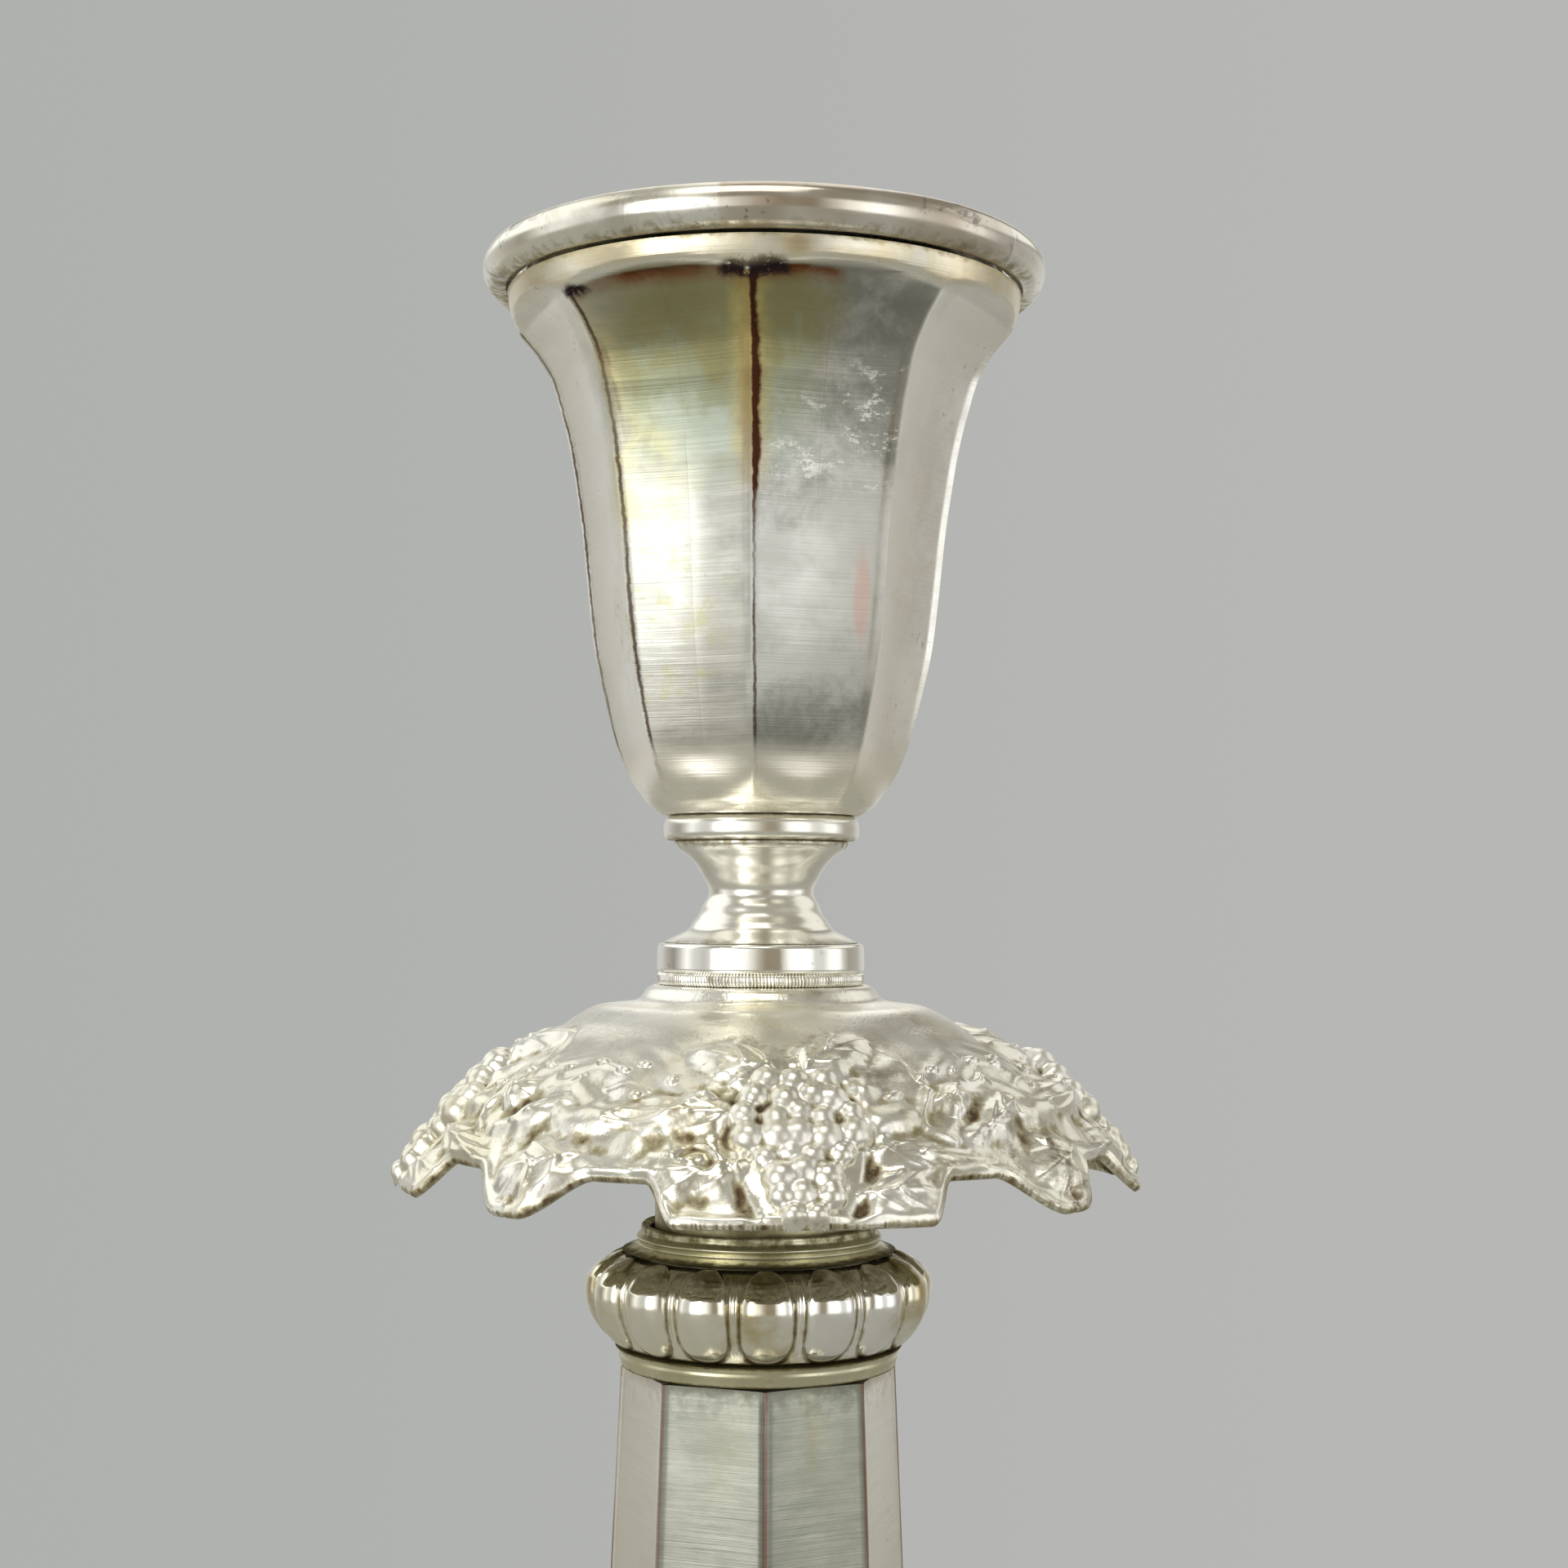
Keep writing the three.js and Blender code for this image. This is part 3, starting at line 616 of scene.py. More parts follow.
# Stems and tendrils: start, end, how far the middle bows to the left in mm, height, half width.
STEMS = [((-16, 14), (-34, 11), 1.5, 0.3, 0.24), ((-8, 13), (-23, 17), -1.2, -0.4, 0.36),
         ((14, 9.5), (33, 7), -0.8, 0.24, 0.24), ((21, 22), (27, 14), 1.0, 0.3, 0.24),
         ((26, 14), (27, 9), -1.8, 0.6, 0.4), ((27, 12), (34, 11.5), -1.0, -0.4, 0.28),
         ((8, 16), (9, 13), 0.2, 0.34, 0.3), ((2, 19), (1, 16), 0.2, -0.3, 0.25),
         ((-47, 15.5), (-36, 17), 1.5, 0.2, 0.24), ((37, 16.5), (45, 16), -1.2, 0.2, 0.24),
         ((-37, 14.5), (-28, 14.5), 0.6, 0.18, 0.22)]
# Oval beads: place, half length and half width in mm, and which way the bead leans.
BEADS = [(-16, 14, 1.0, 0.55, -20), (19, 14, 1.0, 0.55, 20), (-24, 16, 0.8, 0.5, 60), (-43, 18, 0.8, 0.5, 20),
         (-36, 17, 0.8, 0.5, 10), (-32, 18, 0.7, 0.5, 0), (32, 17, 0.7, 0.5, -20), (38, 17, 0.6, 0.4, 30),
         (27, 16, 0.6, 0.4, 70), (-30, 14, 0.6, 0.4, 30)]
BORDER = 25.5  # width of the whole border in mm
COIL = (-15.9, 7.4)


def leaf_frame(stalk, tip):
    """Length of a leaf, and the directions along it and to its left."""
    along = (tip - stalk) / np.linalg.norm(tip - stalk)
    return np.linalg.norm(tip - stalk), along, np.array([-along[1], along[0]])


def leaf_outline(stalk, tip, half):
    """Outline of a pointed leaf that is broadest nearer its stalk, with three lobes to a side."""
    length, along, left = leaf_frame(stalk, tip)
    t = np.linspace(0, 1, 19)[:, None]
    wide = half * np.sin(math.pi * t**0.8) ** 0.7 * (1 + 0.16 * np.cos(6 * math.pi * t + 0.6))
    middle = stalk + t * length * along
    return np.vstack([middle + wide * left, (middle - 0.9 * wide * left)[-2:0:-1]])


def leaf_veins(stalk, tip, half):
    """A leaf's middle vein, and two that branch off it to each side."""
    length, along, left = leaf_frame(stalk, tip)
    bow = 0.12 * half * left
    yield np.array([stalk, stalk + 0.5 * length * along + bow, tip - 0.08 * length * along])
    for start in (0.15, 0.42):
        root = stalk + start * length * along + bow
        for side in (-1, 1):
            yield np.array([root, root + 0.14 * length * along + 0.45 * side * half * left,
                            root + 0.34 * length * along + 0.75 * side * half * left])


def along_path(x, y, path):
    """Each point's least distance from a broken line."""
    least = np.full(x.shape, 1e9)
    for (ax, ay), (bx, by) in zip(path[:-1], path[1:]):
        dx, dy = bx - ax, by - ay
        t = np.clip(((x - ax) * dx + (y - ay) * dy) / (dx * dx + dy * dy + 1e-12), 0, 1)
        least = np.minimum(least, np.hypot(x - ax - t * dx, y - ay - t * dy))
    return least


def depth_inside(x, y, path):
    """How far inside a closed outline each point lies, negative outside."""
    least = along_path(x, y, np.vstack([path, path[:1]]))
    odd = np.zeros(x.shape, bool)
    for (ax, ay), (bx, by) in zip(path, np.roll(path, -1, 0)):
        crosses = (ay > y) != (by > y)
        odd ^= crosses & (x < (bx - ax) * (y - ay) / (by - ay + 1e-12) + ax)
    return np.where(odd, least, -least)


def edge_cut(degrees):
    """How far back the edge is cut, for angles within 45 degrees of a bunch."""
    around = np.abs(degrees)
    notch = ease(*NOTCH_STARTS, around) * ease(*reversed(NOTCH_ENDS), around)
    return EDGE_LEAF + (EDGE_NOTCH - EDGE_LEAF) * notch


def raised_leaves(x, y, radius):
    """Height of the leaves, with their veins."""
    height = np.zeros(x.shape)
    veins = []
    for stalk, tip, half, rise, crown in LEAVES:
        for ends in shown_in_quarter(stalk, tip, radius):
            deep = depth_inside(x, y, leaf_outline(*ends, half))
            leaf = 1.15 * rise * ease(-0.1, 0.34, deep) + 1.3 * crown * np.sqrt(np.clip(deep, 0, 2.6) / 2.6)
            height = np.maximum(height, leaf)
            veins += leaf_veins(*ends, half) if half > SMALL_LEAF else []
    height = blurred(height, 4)
    for path in veins:
        height += 0.13 * np.exp(-((along_path(x, y, flowing(path, 5)) / 0.3) ** 2))
    return height


def add_stems(height, x, y, radius):
    for start, end, bow, tall, half in STEMS:
        for ends in shown_in_quarter(start, end, radius):
            middle = ends.mean(0) + bow * leaf_frame(*ends)[2]
            path = flowing(np.array([ends[0], middle, ends[1]]), 5)
            height += 0.75 * tall * np.exp(-((along_path(x, y, path) / (1.3 * half)) ** 2))


def add_beads(height, x, y, radius):
    for degree, up, long, wide, lean in BEADS:
        dx, dy, lean = x - math.radians(degree) * radius(up), y - up, math.radians(lean)
        u, v = dx * math.cos(lean) + dy * math.sin(lean), dy * math.cos(lean) - dx * math.sin(lean)
        height += 0.8 * wide * np.sqrt(np.clip(1 - (u / long) ** 2 - (v / wide) ** 2, 0, 1))


def press_coil(height, x, y, radius):
    """The coiled end of a tendril, pressed in."""
    dx, dy = x - math.radians(COIL[0]) * radius(COIL[1]), y - COIL[1]
    coil, way = np.hypot(dx, dy * 1.1), np.arctan2(dy, dx)
    height -= 0.5 * np.exp(-((coil - 1.05 - 0.12 * way) / 0.42) ** 2) * ease(-2.6, -1.2, way)
    height -= 0.25 * np.exp(-((coil / 1.6) ** 2))


def vine_relief(degrees, y, radius):
    """Height of the vine border in mm over one quarter, at angles from a bunch and mm up from the edge."""
    x = np.radians(degrees) * radius(y)
    height = raised_leaves(x, y, radius)
    add_stems(height, x, y, radius)
    add_beads(height, x, y, radius)
    press_coil(height, x, y, radius)
    bunch = np.hypot(x / 5.6, (y - 8.4) / 8.6)
    height = np.maximum(height, 0.7 * np.sqrt(np.clip(1 - bunch**2, 0, 1)))
    height -= 0.35 * np.exp(-((bunch - 1.06) / 0.1) ** 2)
    swell = 0.13 * np.sin(x * 1.25 + 0.8 * np.sin(y * 0.9)) * np.sin(y * 0.95 + 0.9 * np.sin(x * 0.6))
    return height + swell * ease(23, 16, y)


def shown_in_quarter(start, end, radius):
    """Both ends in mm, of each copy of a leaf or stem that reaches the quarter that is being made."""
    for shift in (-360 / QUARTERS, 0, 360 / QUARTERS):
        around = np.array([start[0], end[0]], float) + shift
        up = np.array([start[1], end[1]], float)
        if max(around) > -50 and min(around) < 50:
            yield np.stack([np.radians(around) * radius(up), up], 1)


def blurred(height, reach, wraps=True):
    """A grid smoothed three times over reach points each way. Its columns wrap, or their ends are held."""
    window = 2 * reach + 1
    for _ in range(3):
        for axis, mode in ((0, "edge"), (1, "wrap" if wraps else "edge")):
            wide = np.pad(height, [(reach, reach) if axis == a else (0, 0) for a in (0, 1)], mode)
            size = height.shape[axis]
            height = sum(np.take(wide, range(k, k + size), axis) for k in range(window)) / window
    return height


def surface_at(line, s, lift):
    """Radius and height on a (radius, height) line at distance s along it, lifted off it to its left."""
    length = np.r_[0, np.cumsum(np.hypot(*np.diff(line, axis=0).T))]
    along = np.gradient(line, axis=0)
    along /= np.linalg.norm(along, axis=1)[:, None]
    inside = np.clip(s, 0, length[-1])
    r, z, ar, az = (np.interp(inside, length, v) for v in (line[:, 0], line[:, 1], along[:, 0], along[:, 1]))
    past = s - inside
    return r + ar * past - az * lift, z + az * past + ar * lift


PAN_PROFILE = [(6.3, 0.2), (9.8, 0.2), (10.4, 0.05), (10.85, -0.35), (11.15, -0.85), (11.8, -1.25),
               (13.2, -1.5), (15.3, -1.75), (17.4, -2.8), (19.8, -4.4), (23.1, -6.1), (25.8, -8.0),
               (27.7, -9.9), (29.4, -12.0), (31.0, -14.0), (32.7, -16.0), (34.3, -17.7), (35.5, -18.6)]


def vine_sheet(line, columns, rows, turn, scale, size, rim):
    """Grids of r, z, phi and grime_and_shade (tarnish and painted shade in hollows, painted shade along the
    edge) for a sheet turned on a line, with the vine border at its outer edge.
    """
    length = float(np.hypot(*np.diff(line, axis=0).T).sum())
    along = np.linspace(0, length, len(line))
    radius = lambda up: np.interp(length - np.asarray(up, float) * scale, along, line[:, 0]) * size
    local = np.linspace(-45, 45, columns // QUARTERS, endpoint=False)
    cut = edge_cut(local) * scale if rim else 0 * local
    border = BORDER * scale
    plain_rows = 23
    plain = np.linspace(0, length - border, plain_rows + 1)[:-1]
    s = np.r_[plain, np.linspace(length - border, length, rows - plain_rows)][:, None]
    s = np.where(s > length - 0.6 * border, s - cut * np.clip((s - length) / (0.6 * border) + 1, 0, 1), s)
    y = (length - s) / scale
    around = np.repeat(local[None], rows, 0)
    relief = vine_relief(around, y, radius) * scale
    if rim:
        ends = np.stack([np.radians(local) * radius(edge_cut(local)), edge_cut(local)], 1)[::2]
        edge = along_path(np.radians(around) * radius(y), y, ends)
        relief = relief * ease(-0.2, 1.1, edge) + 0.3 * np.exp(-((edge - 0.5) / 0.42) ** 2)
    relief *= ease(border + 1.5 * scale, border - 3 * scale, length - s)
    # Darker in the relief's hollows, as tarnish and as painted shade.
    grime_and_shade = np.clip((blurred(relief, 8) - relief) * 2.1 / scale - 0.04, 0, 0.72)
    # Painted shade along the cut edge: a dark line standing for the sheet's shadowed underside, broken by
    # small nicks.
    if rim:
        nicks = np.sin(around * 5.3 + 3 * np.sin(around * 1.7)) * np.sin(around * 2.1 + 1)
        grime_and_shade = np.maximum(grime_and_shade, ease(0.2, 0.02, edge) * (0.4 + 0.35 * nicks))
    s, relief, grime_and_shade = (np.tile(v, QUARTERS) for v in (np.broadcast_to(s, around.shape), relief, grime_and_shade))
    phi = turn + np.radians(-45) + np.arange(s.shape[1]) * TAU / s.shape[1]
    relief = relief + 0.05 * np.sin(5 * phi + 0.21 * s) * ease(2, 8, s)
    under = slice(None, None, -4)
    faces = [surface_at(line, s, relief), surface_at(line, s[-1:] + 0.12, relief[-1:] - 0.35 * SHEET),
             surface_at(line, s[under], relief[under] - 0.85 * SHEET)]
    r, z = (np.vstack([f[i] for f in faces]) for i in (0, 1))
    grime_and_shade = np.vstack([grime_and_shade, grime_and_shade[-1:], np.full(s[under].shape, 0.42)])
    return r, z, np.repeat(phi[None], len(r), 0), grime_and_shade, length


def drip_pan():
    top = span("drip_pan")[1]
    line = evenly(flowing(np.asarray(PAN_PROFILE) + (0, top), 12), 0.1)
    r, z, phi, grime_and_shade, length = vine_sheet(line, 1280, 212, PAN_TURN, 1.0, 1.0, True)
    r = r + PAN_BEND * np.sin(phi) ** 3 * ease(12, 34, r)
    pan = grid_piece("drip_pan_leaves", r * np.sin(phi), -r * np.cos(phi), z, {"grime_and_shade": grime_and_shade}, sharp=60)
    finished(pan, "drip_pan", ["drip_pan"], pan_silver())
    return line, length


# Grapes of a bunch: how many stand side by side in each row, from the tip up.
GRAPE_ROWS = (2, 3, 3, 4, 5, 5, 4, 3)
GRAPE_PITCH = 2.2


def grape_places():
    """Each grape's mm to the side, mm up the slope from the edge and radius, all a little uneven."""
    for row, count in enumerate(GRAPE_ROWS):
        for k in range(count):
            side = (k - (count - 1) / 2) * GRAPE_PITCH + 0.28 * math.sin(7.1 * row + 4.3 * k)
            up = 2.1 + 0.85 * GRAPE_PITCH * row + (0.3 * math.sin(5.3 * row + 2.9 * k + 1) if row else 0)
            yield side, up, (1.0 if row == 0 else 1.24 + 0.16 * math.sin(3.7 * row + 6.1 * k))


def grapes(prefix, nodes, body, line, length, scale):
    """Bunches of grapes stamped in relief that lie on a turned surface, one for each CAD cushion."""
    x, up = np.meshgrid(np.linspace(-7.2, 7.2, 170), np.linspace(-1.0, 17.2, 214))
    balls = []
    for gx, gup, size in grape_places():
        part = np.clip(1 - ((x - gx) ** 2 + (up - gup) ** 2) / (1.25 * size) ** 2, 0, 1)
        balls.append(1.2 * size * part**0.6)
    bunch = np.log1p(np.expm1(10 * np.array(balls)).sum(0)) / 10
    near = np.hypot(x / 7, (up - 8.3) / 9.6)
    mound = 0.4 * np.sqrt(np.clip(1 - near**2, 0, 1))
    inside = ease(0.02, 0.25, bunch)
    height = blurred((mound + bunch) * inside - 0.95 * (1 - inside), 2, wraps=False)
    # Darker between the grapes, as tarnish and painted shade; the down-facing sides get painted shade,
    # heaviest on the lowest row at the edge.
    dips = np.clip((blurred(height, 5, wraps=False) - height) * 2.4, 0, 0.68)
    faces_down = ease(0.02, 0.12, np.gradient(height, axis=0))
    dips = np.maximum(dips, (0.16 + 0.5 * ease(1.5, 0.2, up)) * faces_down * ease(4.5, 2.5, up))
    faces = grid_faces(*x.shape, False, False)
    kept = (height > np.where(up < 1.7, -0.3, -0.9)).ravel()
    faces = faces[kept[faces].all(1)]
    used, faces = np.unique(faces, return_inverse=True)
    faces = faces.reshape(-1, 4)
    for k, node in enumerate(nodes):
        r, z = surface_at(line, length - up * scale, height * scale)
        phi = turn_of(node) + x * scale / r
        r = r + (PAN_BEND * np.sin(phi) ** 3 if body == "drip_pan" else 0)
        points = np.stack([r * np.sin(phi), -r * np.cos(phi), z], -1).reshape(-1, 3)[used]
        piece = mesh_piece(f"{prefix}_bunch_{k + 1}", points, faces, {"grime_and_shade": dips.ravel()[used]}, 0)
        finished(piece, body, [node], grape_silver())


# ---------------------------------------------------------------- plug, collar, knops, shaft


def brass_part(name, line, body, node):
    turned(name, line, body, [node], old_brass(), 128)


def plug():
    low, high = span("plug_tube")
    wall = 9.75
    line = outline([(wall - 0.8, low), (wall - 0.1, low), (wall, low + 1), (wall, high),
                    (wall - 0.8, high)], step=0.35, soften=2)
    brass_part("plug_sleeve", line, "top_section", "plug_tube")
    low, high = span("plug_cap")
    line = outline([(2.4, low), (9.5, low), (9.5, high), (2.4, high)])
    brass_part("plug_cap_disc", line, "top_section", "plug_cap")
    low, high = span("pan_bush")
    seat = low + 1.0
    line = outline([(2.4, low), (8.2, low), (8.2, seat), (6, seat), (6, high), (2.4, high)], step=0.15,
                   soften=1)
    brass_part("pan_bush_stepped", line, "top_section", "pan_bush")


def socket():
    low, high = span("socket_collar")
    high += 0.7
    outside = flowing([(12.8, low), (12.2, low + 0.15), (11.55, low + 0.35), (11.2, low + 0.6),
                       (11.35, low + 0.95), (11.5, low + 1.2), (11.3, low + 1.45), (11.05, low + 1.7),
                       (11.05, high - 0.2)], 5)
    line = outline([(10.2, low), (12.6, low)], outside,
                   [(10.95, high), (10.4, high - 0.05), (10.2, high - 0.3)], step=0.07, soften=2)
    rings = Rings(line, 192)
    uneven = 0.06 * np.sin(2 * rings.phi + 0.6) + 0.03 * np.sin(9 * rings.phi)
    rings.z += uneven * ease(low + 0.9, high, rings.z)
    under, over = ease(low + 0.4, low, rings.z), ease(low + 1.3, low + 1.8, rings.z)
    rings.marks["grime_and_shade"] = 0.5 * under + 0.26 * over + 0.1
    finished(rings.piece("socket_mouth_collar"), "candlestick", ["socket_collar"], collar_silver())
    low, high = span("socket_tube")
    line = outline([(10.1, low + 0.8), (10.9, low + 0.8), (10.9, high), (10.1, high)], step=0.4, soften=1)
    brass_part("socket_liner", line, "candlestick", "socket_tube")


def knop(name, node, scale, material):
    """A knop of rounded gadroons with a pair of fine reeds between each two."""
    low, high = span(node)
    tall = high - low
    rise = lambda pairs: [(r * scale, low + z * tall) for r, z in pairs]
    outside = flowing(rise([(13.2, 0), (13.45, 0.04), (14.0, 0.15), (14.7, 0.33), (15.05, 0.52),
                            (15.0, 0.7), (14.2, 0.87), (13.1, 0.965), (12.3, 1.0)]), 10)
    inside = rise([(12.2, 0.9), (13.8, 0.75), (14.2, 0.5), (13.6, 0.25), (12.2, 0.0)])
    outside = evenly(outside, 0.11)
    line = np.vstack([outside, evenly(flowing(inside, 4), 0.7)])
    rings = Rings(line, GADROONS * 48)
    pitch = TAU / GADROONS
    off = np.abs(((rings.phi / pitch + 0.5) % 1) - 0.5) * 360 / GADROONS
    outer = (np.arange(len(line)) < len(outside))[:, None]
    t = np.clip((rings.z - low) / tall, 0, 1)
    across = (off / 9.3) ** 2.2 + np.abs(2 * t - 1) ** np.where(t < 0.5, 5.0, 3.4)
    lobe = np.clip(1 - across, 0, 1) ** 0.6
    reed = 0.17 * np.exp(-((off - 9.85) / 0.42) ** 2) + 0.12 * np.exp(-((off - 11.25) / 0.4) ** 2)
    along = np.gradient(line, axis=0)
    out = np.stack([along[:, 1], -along[:, 0]], 1) / np.linalg.norm(along, axis=1)[:, None]
    rise_by = scale * outer * (1.1 * lobe + reed * ease(0.04, 0.25, t) * ease(0.98, 0.8, t))
    rings.r = rings.r + rise_by * out[:, :1]
    rings.z = rings.z + np.clip(rise_by * out[:, 1:], 0, 0.25)
    valley = ease(0.78, 1.0, across) * ease(1.45, 1.1, across) * ease(0.82, 0.6, t)
    # Darker in the valleys between gadroons and at the foot; the darkening over the top is painted shade,
    # under what stands above the knop.
    grime_and_shade = 0.5 * valley * outer + 0.36 * ease(0.62, 1.0, t) + 0.4 * ease(0.1, 0.0, t)
    rings.marks["grime_and_shade"] = np.clip(grime_and_shade, 0, 0.85)
    finished(rings.piece(name, sharp=60), "candlestick", [node], material)


def moulding(name, node, shape, hole, material):
    """A turned ring: shape is a list of (radius, share of its height)."""
    low, high = span(node)
    edge = flowing([(r, low + share * (high - low)) for r, share in shape], 6)
    line = outline([(hole, low)], edge, [(hole, high)], step=0.12)
    rings = Rings(line, 224)
    rings.marks["grime_and_shade"] = 0.75 * ease(low + 0.25, low, rings.z) + 0.6 * ease(high - 0.3, high, rings.z) + 0.1
    finished(rings.piece(name), "candlestick", [node], material)


def faceted_column(name, node, low_r, high_r, hollow, material, profile=None, arch=0.0):
    """An eight-sided tube with slightly hollow sides. arch rounds the sides off at the lower end."""
    low, high = span(node)
    wall = flowing([(r, low + share * (high - low)) for r, share in profile],
                   8) if profile else np.array([(low_r, low), (high_r, high)])
    wall = evenly(wall, 0.5)
    line = np.vstack([wall, (evenly(wall, 3) - (SHEET, 0))[::-1]])
    rings = Rings(line, SIDES * 44)
    off = np.abs(from_panel_middle(rings.phi, 0)) / HALF_SIDE
    outer = (np.arange(len(line)) < len(wall))[:, None]
    to_arris = rings.r * HALF_SIDE * (1 - off)
    within = 1.0
    end = low + arch * off**2.2
    if arch:
        within = ease(end + 0.1, end + 1.6, rings.z)
    bead = 0.16 * np.exp(-(to_arris / 0.32) ** 2) * outer
    rings.r = rings.r + within * (fluted(rings.r, rings.phi, 0, hollow) + bead - rings.r)
    # Painted shade at the top of the panels, under the moulding above them; darker at the foot as well.
    top = 0.5 * ease(high - 1.0, high, rings.z) + 0.25 * ease(high - 5, high - 0.5, rings.z)
    rings.marks = {
        "arris": to_arris,
        "arch": rings.z - end,
        "within": outer * within * np.ones(rings.r.shape),
        "grime_and_shade": top + 0.6 * ease(low + 0.8, low, rings.z),
    }
    finished(rings.piece(name, sharp=44), "candlestick", [node], material)


def shaft_extra(n, grime_and_shade):
    """Two panels in front painted dark as a painted reflection, paler ones beside them, brown stains and a
    thin line along each arris.
    """
    cloud = n.noise(55, 4, 0.6, stretch=(1, 1, 0.5), shift=0.55)
    fine = n.noise(160, 4, 0.7, stretch=(1, 1, 7), shift=0.25)
    dim = n.between(n.plus(cloud, n.ragged(fine, 0.12)), 0.35, 0.7)
    n.lay(n.mix(dim, (0.99, 0.98, 0.90), (0.90, 0.89, 0.80)), 0.6)
    # Painted reflection: the two front panels are darkened to grey where they mirror the dim room.
    n.lay(n.mix(dim, (0.27, 0.275, 0.23), (0.21, 0.215, 0.175)), n.sector(-2 * HALF_SIDE, 0), 0.95)
    n.lay(n.mix(dim, (0.33, 0.335, 0.28), (0.26, 0.27, 0.22)), n.sector(0, 2 * HALF_SIDE), 0.95)
    stain = n.between(n.noise(50, 4, 0.6, stretch=(1, 1, 0.35), shift=0.75), 0.56, 0.74)
    n.lay((0.30, 0.25, 0.13), stain, 0.6)
    broken = n.between(n.noise(55, 3, shift=0.2), 0.3, 0.6, 0.4, 1.0)
    n.lay((0.24, 0.12, 0.08), n.between(n.mark("arris"), 0.3, 0.1), broken, 0.8)
    n.rough = n.plus(n.rough, 0.02)


def shaft_silver(name):
    return silver(name, shine=0.15, haze=0.1, patina=0.25, brushed=0.3, pits=0.6, dents=0.4,
                  extra=shaft_extra)


# ---------------------------------------------------------------- foot

FOOT_PROFILE = [(38.6, 18.9), (44, 17.6), (51, 14.6), (58, 10.4), (63.4, 6), (65.6, 4.8)]


def foot_dome():
    line = evenly(flowing(FOOT_PROFILE, 12), 0.1)
    scale = 1.15
    r, z, phi, grime_and_shade, length = vine_sheet(line, 1280, 176, 0.0, scale, 0.55, False)
    dome = grid_piece("foot_dome_leaves", r * np.sin(phi), -r * np.cos(phi), z, {"grime_and_shade": grime_and_shade}, sharp=60)
    finished(dome, "candlestick", ["foot_dome"], pan_silver())
    grapes("foot", [f"foot_grapes_{k + 1}" for k in range(QUARTERS)], "candlestick", line, length - 1.6, 1.12)


def foot():
    low, high = span("foot_rolled_rim")
    rings, across = rolled(66.4, 1.6, low, high, 28, 320)
    rings.marks["grime_and_shade"] = 0.8 * ease(-0.2, -0.9, np.sin(across)) + 0.8 * ease(-0.4, -0.95, np.cos(across))
    finished(rings.piece("foot_rim_roll"), "candlestick", ["foot_rolled_rim"], neck_silver())
    step = [(39.3, 0), (39.6, 0.25), (39.2, 0.5), (38.3, 0.62), (38.0, 0.8), (37.2, 1)]
    moulding("foot_step_moulding", "foot_step_ring", step, 35.4, neck_silver())
    trumpet = [(36, 0), (31.2, 0.1), (27.2, 0.22), (23.9, 0.36), (21.2, 0.5), (19.3, 0.64), (18.0, 0.8),
               (17.3, 0.92), (17.2, 1)]
    faceted_column("foot_trumpet_flutes", "foot_trumpet", 36, 17.2, 0.3, shaft_silver("trumpet_silver"),
                   trumpet, arch=4.5)
    collar = [(17.9, 0), (18.4, 0.2), (18.2, 0.42), (17.3, 0.55), (17.5, 0.8), (17.2, 1)]
    moulding("foot_collar_moulding", "foot_collar", collar, 14.6, neck_silver())
    low, high = span("felt_pad")
    line = outline([(0.02, low), (63.4, low), (63.4, high), (0.02, high)], step=0.35, soften=1)
    green = matt("green_felt", (0.06, 0.13, 0.08), (0.03, 0.07, 0.04), 2200, 0.0002)
    turned("felt_disc", line, "candlestick", ["felt_pad"], green, 160)


# ---------------------------------------------------------------- finishes of the pieces


def once(make):
    """Makes a material the first time it is asked for."""
    kept = []

    def get():
        if not kept:
            kept.append(make())
        return kept[0]

    return get


def rim_extra(n, grime_and_shade):
    """Warm brown along the right-hand front, and black patches."""
    patch = n.between(n.noise(170, 5, 0.7, warp=0.6, shift=0.35), 0.52, 0.62)
    warm = n.between(n.noise(75, 3, shift=0.3), 0.35, 0.6, 0.2, 0.75)
    n.lay((0.50, 0.41, 0.32), n.sector(-0.2, 0.95), warm)
    n.lay((0.12, 0.10, 0.11), patch, n.between(n.noise(40, 2), 0.4, 0.55), 0.7)


def olive_extra(n, grime_and_shade):
    """Plate gone olive all over, with paler yellow patches."""
    patch = n.between(n.noise(130, 4, 0.6, shift=0.65, warp=0.5), 0.35, 0.65)
    n.lay(n.mix(patch, (0.50, 0.47, 0.27), (0.68, 0.64, 0.42)), 0.75)
    n.lay((0.20, 0.17, 0.08), n.between(grime_and_shade, 0.15, 0.6))


def pan_extra(n, grime_and_shade):
    """Duller and yellower in patches below its top, stained brown on the right, with small scratches and
    pricks all over.
    """
    dull_patches = n.between(n.noise(70, 5, 0.65, shift=0.45, warp=0.7), 0.36, 0.66, 0.05, 0.6)
    bright = span("drip_pan")[1] * MM - 0.0035
    tint = n.mix(n.between(grime_and_shade, 0.05, 0.3), (0.70, 0.68, 0.57), n.colour)
    n.lay(tint, dull_patches, n.between(n.height(), bright + 0.0015, bright))
    stain = n.between(n.noise(260, 5, 0.75, stretch=(1, 1, 2), shift=0.6, warp=0.5), 0.5, 0.66)
    patches = n.between(n.noise(55, 3, shift=0.85), 0.42, 0.6)
    n.lay((0.26, 0.20, 0.13), stain, patches, n.sector(math.radians(14), math.radians(88)), 0.8)
    n.normal = n.bump(n.noise(1700, 2, 0.6, shift=0.9), 0.00003, n.normal)
    n.normal = n.bump(n.noise(240, 3, 0.7, stretch=(1, 4, 1), shift=0.15, warp=0.8), 0.00003, n.normal)


